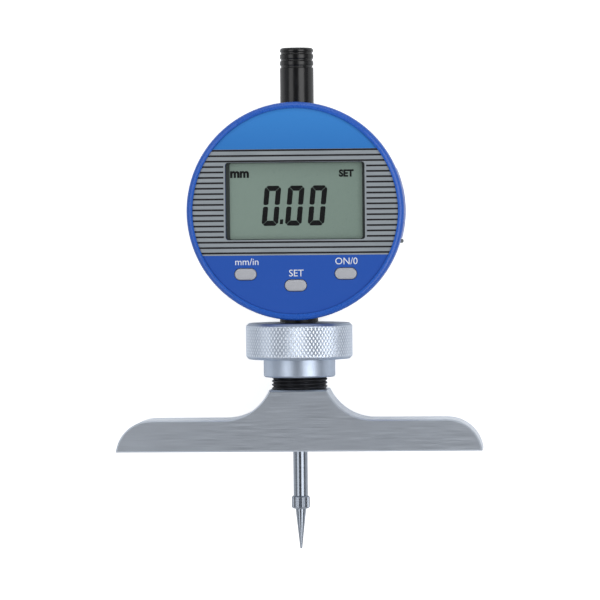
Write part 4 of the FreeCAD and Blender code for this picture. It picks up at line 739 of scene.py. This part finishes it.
# %% Domed keys
KEY_PLACES = {"unit": (-13.8, -17.25), "set": (0.0, -20.4), "zero": (13.8, -17.25)}
KEY_LEVELS = np.array([
    # end radius, half of the straight length, level
    (0.0, 0.0, 12.42), (0.6, 1.45, 12.41), (1.1, 1.45, 12.37), (1.34, 1.45, 12.3), (1.48, 1.45, 12.18),
    (1.55, 1.45, 12.0), (1.55, 1.45, 9.3), (2.25, 1.45, 9.3), (2.25, 1.45, 8.3), (1.2, 0.0, 8.3),
    (1.2, 0.0, 6.8), (0.0, 0.0, 6.8)])


def domed_key(x, y, columns=72):
    """Point = centre + radius (cos a, sin a) + half length towards the side of cos a, at each level."""
    angle = (np.arange(columns) + 0.5) * 2 * np.pi / columns
    radius, half, level = KEY_LEVELS[:, :1], KEY_LEVELS[:, 1:2], KEY_LEVELS[:, 2:]
    grid = np.stack([x + radius * np.cos(angle) + half * np.sign(np.cos(angle)),
                     DIAL + y + radius * np.sin(angle), level + 0 * angle], axis=-1)
    return grid.reshape(-1, 3), grid_faces(len(KEY_LEVELS), columns, wrap_columns=True)


grey_abs, tree, place = start_material("grey_key_abs")
speck = add_node(tree, "ShaderNodeTexNoise", {"Vector": place, "Scale": 5000.0})
tone = add_node(tree, "ShaderNodeMix", {0: speck.outputs[0], 6: "#A8AAB0", 7: "#C0C2C8"}, data_type="RGBA")
rough = add_node(tree, "ShaderNodeMapRange", {
    "Value": speck.outputs[0], **NOISE_RANGE, "To Min": 0.38, "To Max": 0.50})
relief = add_node(tree, "ShaderNodeBump", {"Height": speck.outputs[0], "Distance": 0.004 * MM})
plastic = add_node(tree, "ShaderNodeBsdfPrincipled", {
    "Base Color": tone.outputs[2], "Roughness": rough.outputs[0], "Normal": relief.outputs[0]})
add_node(tree, "ShaderNodeOutputMaterial", {"Surface": plastic.outputs[0]})
for key, (x, y) in KEY_PLACES.items():
    new_piece(f"{key}_key_cap", [domed_key(x, y)], f"{key}_key", grey_abs,
              [f"{key}_button"], sharp=40)

# %% [markdown]
# ## Parts inside and behind
#
# These parts show through gaps, from behind or when the drawer is out. Each gets the finish of its
# real material. Zinc plate on steel is cloudy, and milled aluminium keeps the rings of the cutter.

# %% Plated steel and milled aluminium
plated_steel, tree, place = start_material("zinc_plated_steel")
cloud = add_node(tree, "ShaderNodeTexNoise", {"Vector": place, "Scale": 1250.0, "Detail": 3.0})
tone = add_node(tree, "ShaderNodeMix", {0: cloud.outputs[0], 6: "#8F9398", 7: "#C0C3C7"}, data_type="RGBA")
rough = add_node(tree, "ShaderNodeMapRange", {
    "Value": cloud.outputs[0], **NOISE_RANGE, "To Min": 0.24, "To Max": 0.38})
zinc = add_node(tree, "ShaderNodeBsdfPrincipled", {
    "Base Color": tone.outputs[2], "Metallic": 1.0, "Roughness": rough.outputs[0]})
add_node(tree, "ShaderNodeOutputMaterial", {"Surface": zinc.outputs[0]})
for node in ("cover_screws", "board_screws", "switch_domes", "guide_pin", "battery_cell", "return_spring"):
    paint_node(node, plated_steel)

milled, tree, place = start_material("milled_aluminium")
along = add_node(tree, "ShaderNodeMapping", {"Vector": place, "Scale": (6600.0, 220.0, 6600.0)})
cuts = add_node(tree, "ShaderNodeTexNoise", {"Vector": along.outputs[0], "Scale": 1.0})
tone = add_node(tree, "ShaderNodeMix", {0: cuts.outputs[0], 6: "#ADAFB4", 7: "#D7D9DC"}, data_type="RGBA")
aluminium = add_node(tree, "ShaderNodeBsdfPrincipled", {
    "Base Color": tone.outputs[2], "Metallic": 1.0, "Roughness": 0.33})
add_node(tree, "ShaderNodeOutputMaterial", {"Surface": aluminium.outputs[0]})
paint_node("scale_carrier", milled)

# %% [markdown]
# ## Brass and lacquered board
#
# The upper bush and the cell's contact leaves are brass, turned or rolled. The board is glass
# fibre under green lacquer, and its copper tracks show through as lighter lines, in rows 0.75 mm
# apart.

# %% Brass and board
brass, tree, place = start_material("turned_brass")
around = add_node(tree, "ShaderNodeMapping", {"Vector": place, "Scale": (400.0, 1650.0, 400.0)})
rings = add_node(tree, "ShaderNodeTexNoise", {"Vector": around.outputs[0], "Scale": 1.0})
tone = add_node(tree, "ShaderNodeMix", {0: rings.outputs[0], 6: "#B38F47", 7: "#DDBB78"}, data_type="RGBA")
metal = add_node(tree, "ShaderNodeBsdfPrincipled", {
    "Base Color": tone.outputs[2], "Metallic": 1.0, "Roughness": 0.28})
add_node(tree, "ShaderNodeOutputMaterial", {"Surface": metal.outputs[0]})
for node in ("upper_bush", "negative_contact", "positive_contact"):
    paint_node(node, brass)

board_lacquer, tree, place = start_material("green_board_lacquer")
tracks = add_node(tree, "ShaderNodeTexBrick", {
    "Vector": place, "Scale": 1 / (MM * 3), "Color1": "#1D5A38", "Color2": "#226641", "Mortar": "#2E7A50",
    "Mortar Size": 0.06})
lacquer = add_node(tree, "ShaderNodeBsdfPrincipled", {
    "Base Color": tracks.outputs["Color"], "Roughness": 0.35})
add_node(tree, "ShaderNodeOutputMaterial", {"Surface": lacquer.outputs[0]})
paint_node("main_board", board_lacquer)

# %% [markdown]
# ## Rubber, nylon, catch and scale
#
# The contact strips and the stop ring are black rubber, which is dull. The display's holder is
# milky nylon, the drawer's catch grey ABS, and the measuring scale is glass with fine marks, drawn
# almost 2 mm apart, because the real ones are too fine to see.

# %% Rubber and nylon
black_rubber, tree, place = start_material("black_rubber")
crumb = add_node(tree, "ShaderNodeTexNoise", {"Vector": place, "Scale": 3300.0})
tone = add_node(tree, "ShaderNodeMix", {0: crumb.outputs[0], 6: "#111113", 7: "#2D2D2F"}, data_type="RGBA")
rubber = add_node(tree, "ShaderNodeBsdfPrincipled", {"Base Color": tone.outputs[2], "Roughness": 0.75})
add_node(tree, "ShaderNodeOutputMaterial", {"Surface": rubber.outputs[0]})
for node in ("contact_strips", "stop_ring"):
    paint_node(node, black_rubber)

white_nylon, tree, place = start_material("white_nylon")
milk = add_node(tree, "ShaderNodeTexNoise", {"Vector": place, "Scale": 660.0})
tone = add_node(tree, "ShaderNodeMix", {0: milk.outputs[0], 6: "#CBCAC3", 7: "#E9E8E3"}, data_type="RGBA")
nylon = add_node(tree, "ShaderNodeBsdfPrincipled", {"Base Color": tone.outputs[2], "Roughness": 0.5})
add_node(tree, "ShaderNodeOutputMaterial", {"Surface": nylon.outputs[0]})
paint_node("lcd_holder", white_nylon)

# %% Catch and scale
grey_catch, tree, place = start_material("grey_catch_abs")
mottle = add_node(tree, "ShaderNodeTexNoise", {"Vector": place, "Scale": 2000.0})
tone = add_node(tree, "ShaderNodeMix", {0: mottle.outputs[0], 6: "#6E7373", 7: "#8C9191"}, data_type="RGBA")
plastic = add_node(tree, "ShaderNodeBsdfPrincipled", {"Base Color": tone.outputs[2], "Roughness": 0.45})
add_node(tree, "ShaderNodeOutputMaterial", {"Surface": plastic.outputs[0]})
paint_node("drawer_catch", grey_catch)

scale_glass, tree, place = start_material("marked_scale_glass")
marks = add_node(tree, "ShaderNodeTexWave", {"Vector": place, "Scale": 1 / (MM * 6)}, bands_direction="Y")
tone = add_node(tree, "ShaderNodeMix", {
    0: marks.outputs["Fac"], 6: "#8E9A96", 7: "#CBD3D0"}, data_type="RGBA")
glass = add_node(tree, "ShaderNodeBsdfPrincipled", {"Base Color": tone.outputs[2], "Roughness": 0.1})
add_node(tree, "ShaderNodeOutputMaterial", {"Surface": glass.outputs[0]})
paint_node("scale_strip", scale_glass)

# %% [markdown]
# ## Floor
#
# The gauge lies on its back on a pale floor. The floor adds a little white of its own for what the
# camera and the mirrors see, so that the background is white with no more light on the gauge, and
# it keeps the gauge's shadow.

# %% Floor
FLOOR_SIDE = 4000.0
FLOOR_GLOW = 0.68
MIRROR_GLOW = 0.22
floor_level = model_box[0].z / MM - 0.02
corners = FLOOR_SIDE / 2 * np.array([(-1, -1, 0), (1, -1, 0), (1, 1, 0), (-1, 1, 0)]) + [0, 0, floor_level]
floor_mesh = bpy.data.meshes.new("floor")
floor_mesh.from_pydata((corners * MM).tolist(), [], [(0, 1, 2, 3)])
floor = bpy.data.objects.new("floor", floor_mesh)
bpy.context.scene.collection.objects.link(floor)

pale_floor, tree = start_material("pale_floor")[:2]
board = add_node(tree, "ShaderNodeBsdfDiffuse", {"Color": "#E8E9EA"})
rays = add_node(tree, "ShaderNodeLightPath").outputs
seen = add_node(tree, "ShaderNodeMath", {0: rays["Is Camera Ray"], 1: rays["Is Transmission Ray"]},
                operation="MAXIMUM")
mirrored = add_node(tree, "ShaderNodeMath", {
    0: rays["Is Glossy Ray"], 1: MIRROR_GLOW}, operation="MULTIPLY")
strength = add_node(tree, "ShaderNodeMath", {0: seen.outputs[0], 1: FLOOR_GLOW, 2: mirrored.outputs[0]},
                    operation="MULTIPLY_ADD")
glow = add_node(tree, "ShaderNodeEmission", {"Color": "#FFFFFF", "Strength": strength.outputs[0]})
lit = add_node(tree, "ShaderNodeAddShader", {0: board.outputs[0], 1: glow.outputs[0]})
add_node(tree, "ShaderNodeOutputMaterial", {"Surface": lit.outputs[0]})
floor_mesh.materials.append(pale_floor)
print("floor at z =", round(floor_level, 2), "mm")

# %% [markdown]
# ## Light
#
# Two tall soft boxes stand left and right of the camera, which gives every cylinder two long
# highlights. The right one is wider and brighter. A third hangs over the far end. The room is dim
# straight above the gauge, so the window and the plastics mirror little, and it is brighter at the
# left than at the right, so polished steel darkens to the right.

# %% Soft boxes
LEFT_POWER, RIGHT_POWER, TOP_POWER = 4.4, 8.8, 2.6
ROOM_LEFT, ROOM_RIGHT = 0.60, 0.35
ROOM_HIGH = 0.25
AIM_HEIGHT = 0.045


def soft_box(name, azimuth, rise, distance, width, height, watts):
    """A lamp on a sphere round the gauge: azimuth turns it to the right of straight above, rise lifts
    it. Its width lies level, along (cos azimuth, 0, -sin azimuth), and its light goes to a point
    on the spindle's axis. Distances and sizes are in metres."""
    azimuth, rise = np.radians([azimuth, rise])
    way = np.array([np.sin(azimuth) * np.cos(rise), np.sin(rise), np.cos(azimuth) * np.cos(rise)])
    level = np.array([np.cos(azimuth), 0.0, -np.sin(azimuth)])
    axes = np.array([level, np.cross(way, level), way]).T
    data = bpy.data.lights.new(name, "AREA")
    data.shape, data.size, data.size_y, data.energy = "RECTANGLE", width, height, watts
    lamp = bpy.data.objects.new(name, data)
    placed = Matrix([[*map(float, row)] for row in axes]).to_4x4()
    placed.translation = Vector((way * distance + [0, AIM_HEIGHT, 0]).tolist())
    lamp.matrix_world = placed
    bpy.context.scene.collection.objects.link(lamp)
    print(f"{name}: {watts} W at {distance} m")


soft_box("left_box", azimuth=-36, rise=0, distance=1.2, width=0.62, height=1.5, watts=LEFT_POWER)
soft_box("right_box", azimuth=36, rise=0, distance=1.2, width=0.8, height=1.5, watts=RIGHT_POWER)
soft_box("top_box", azimuth=0, rise=60, distance=1.3, width=1.0, height=0.5, watts=TOP_POWER)

# %% Room
world = bpy.data.worlds.new("studio")
bpy.context.scene.world = world
world.use_nodes = True
tree = world.node_tree
tree.nodes.clear()
way = add_node(tree, "ShaderNodeTexCoord").outputs["Generated"]
parts = add_node(tree, "ShaderNodeSeparateXYZ", {0: way}).outputs
side = add_node(tree, "ShaderNodeMapRange", {"Value": parts["X"], "From Min": -1.0, "From Max": 1.0,
                                             "To Min": ROOM_LEFT, "To Max": ROOM_RIGHT})
height = add_node(tree, "ShaderNodeMapRange", {"Value": parts["Z"], "From Min": 0.0, "From Max": 1.0,
                                               "To Min": 1.0, "To Max": ROOM_HIGH})
level = add_node(tree, "ShaderNodeMath", {0: side.outputs[0], 1: height.outputs[0]}, operation="MULTIPLY")
room = add_node(tree, "ShaderNodeBackground", {"Color": "#F4F7FB", "Strength": level.outputs[0]})
add_node(tree, "ShaderNodeOutputWorld", {"Surface": room.outputs[0]})
print("room from", ROOM_LEFT, "at the left to", ROOM_RIGHT, "at the right")
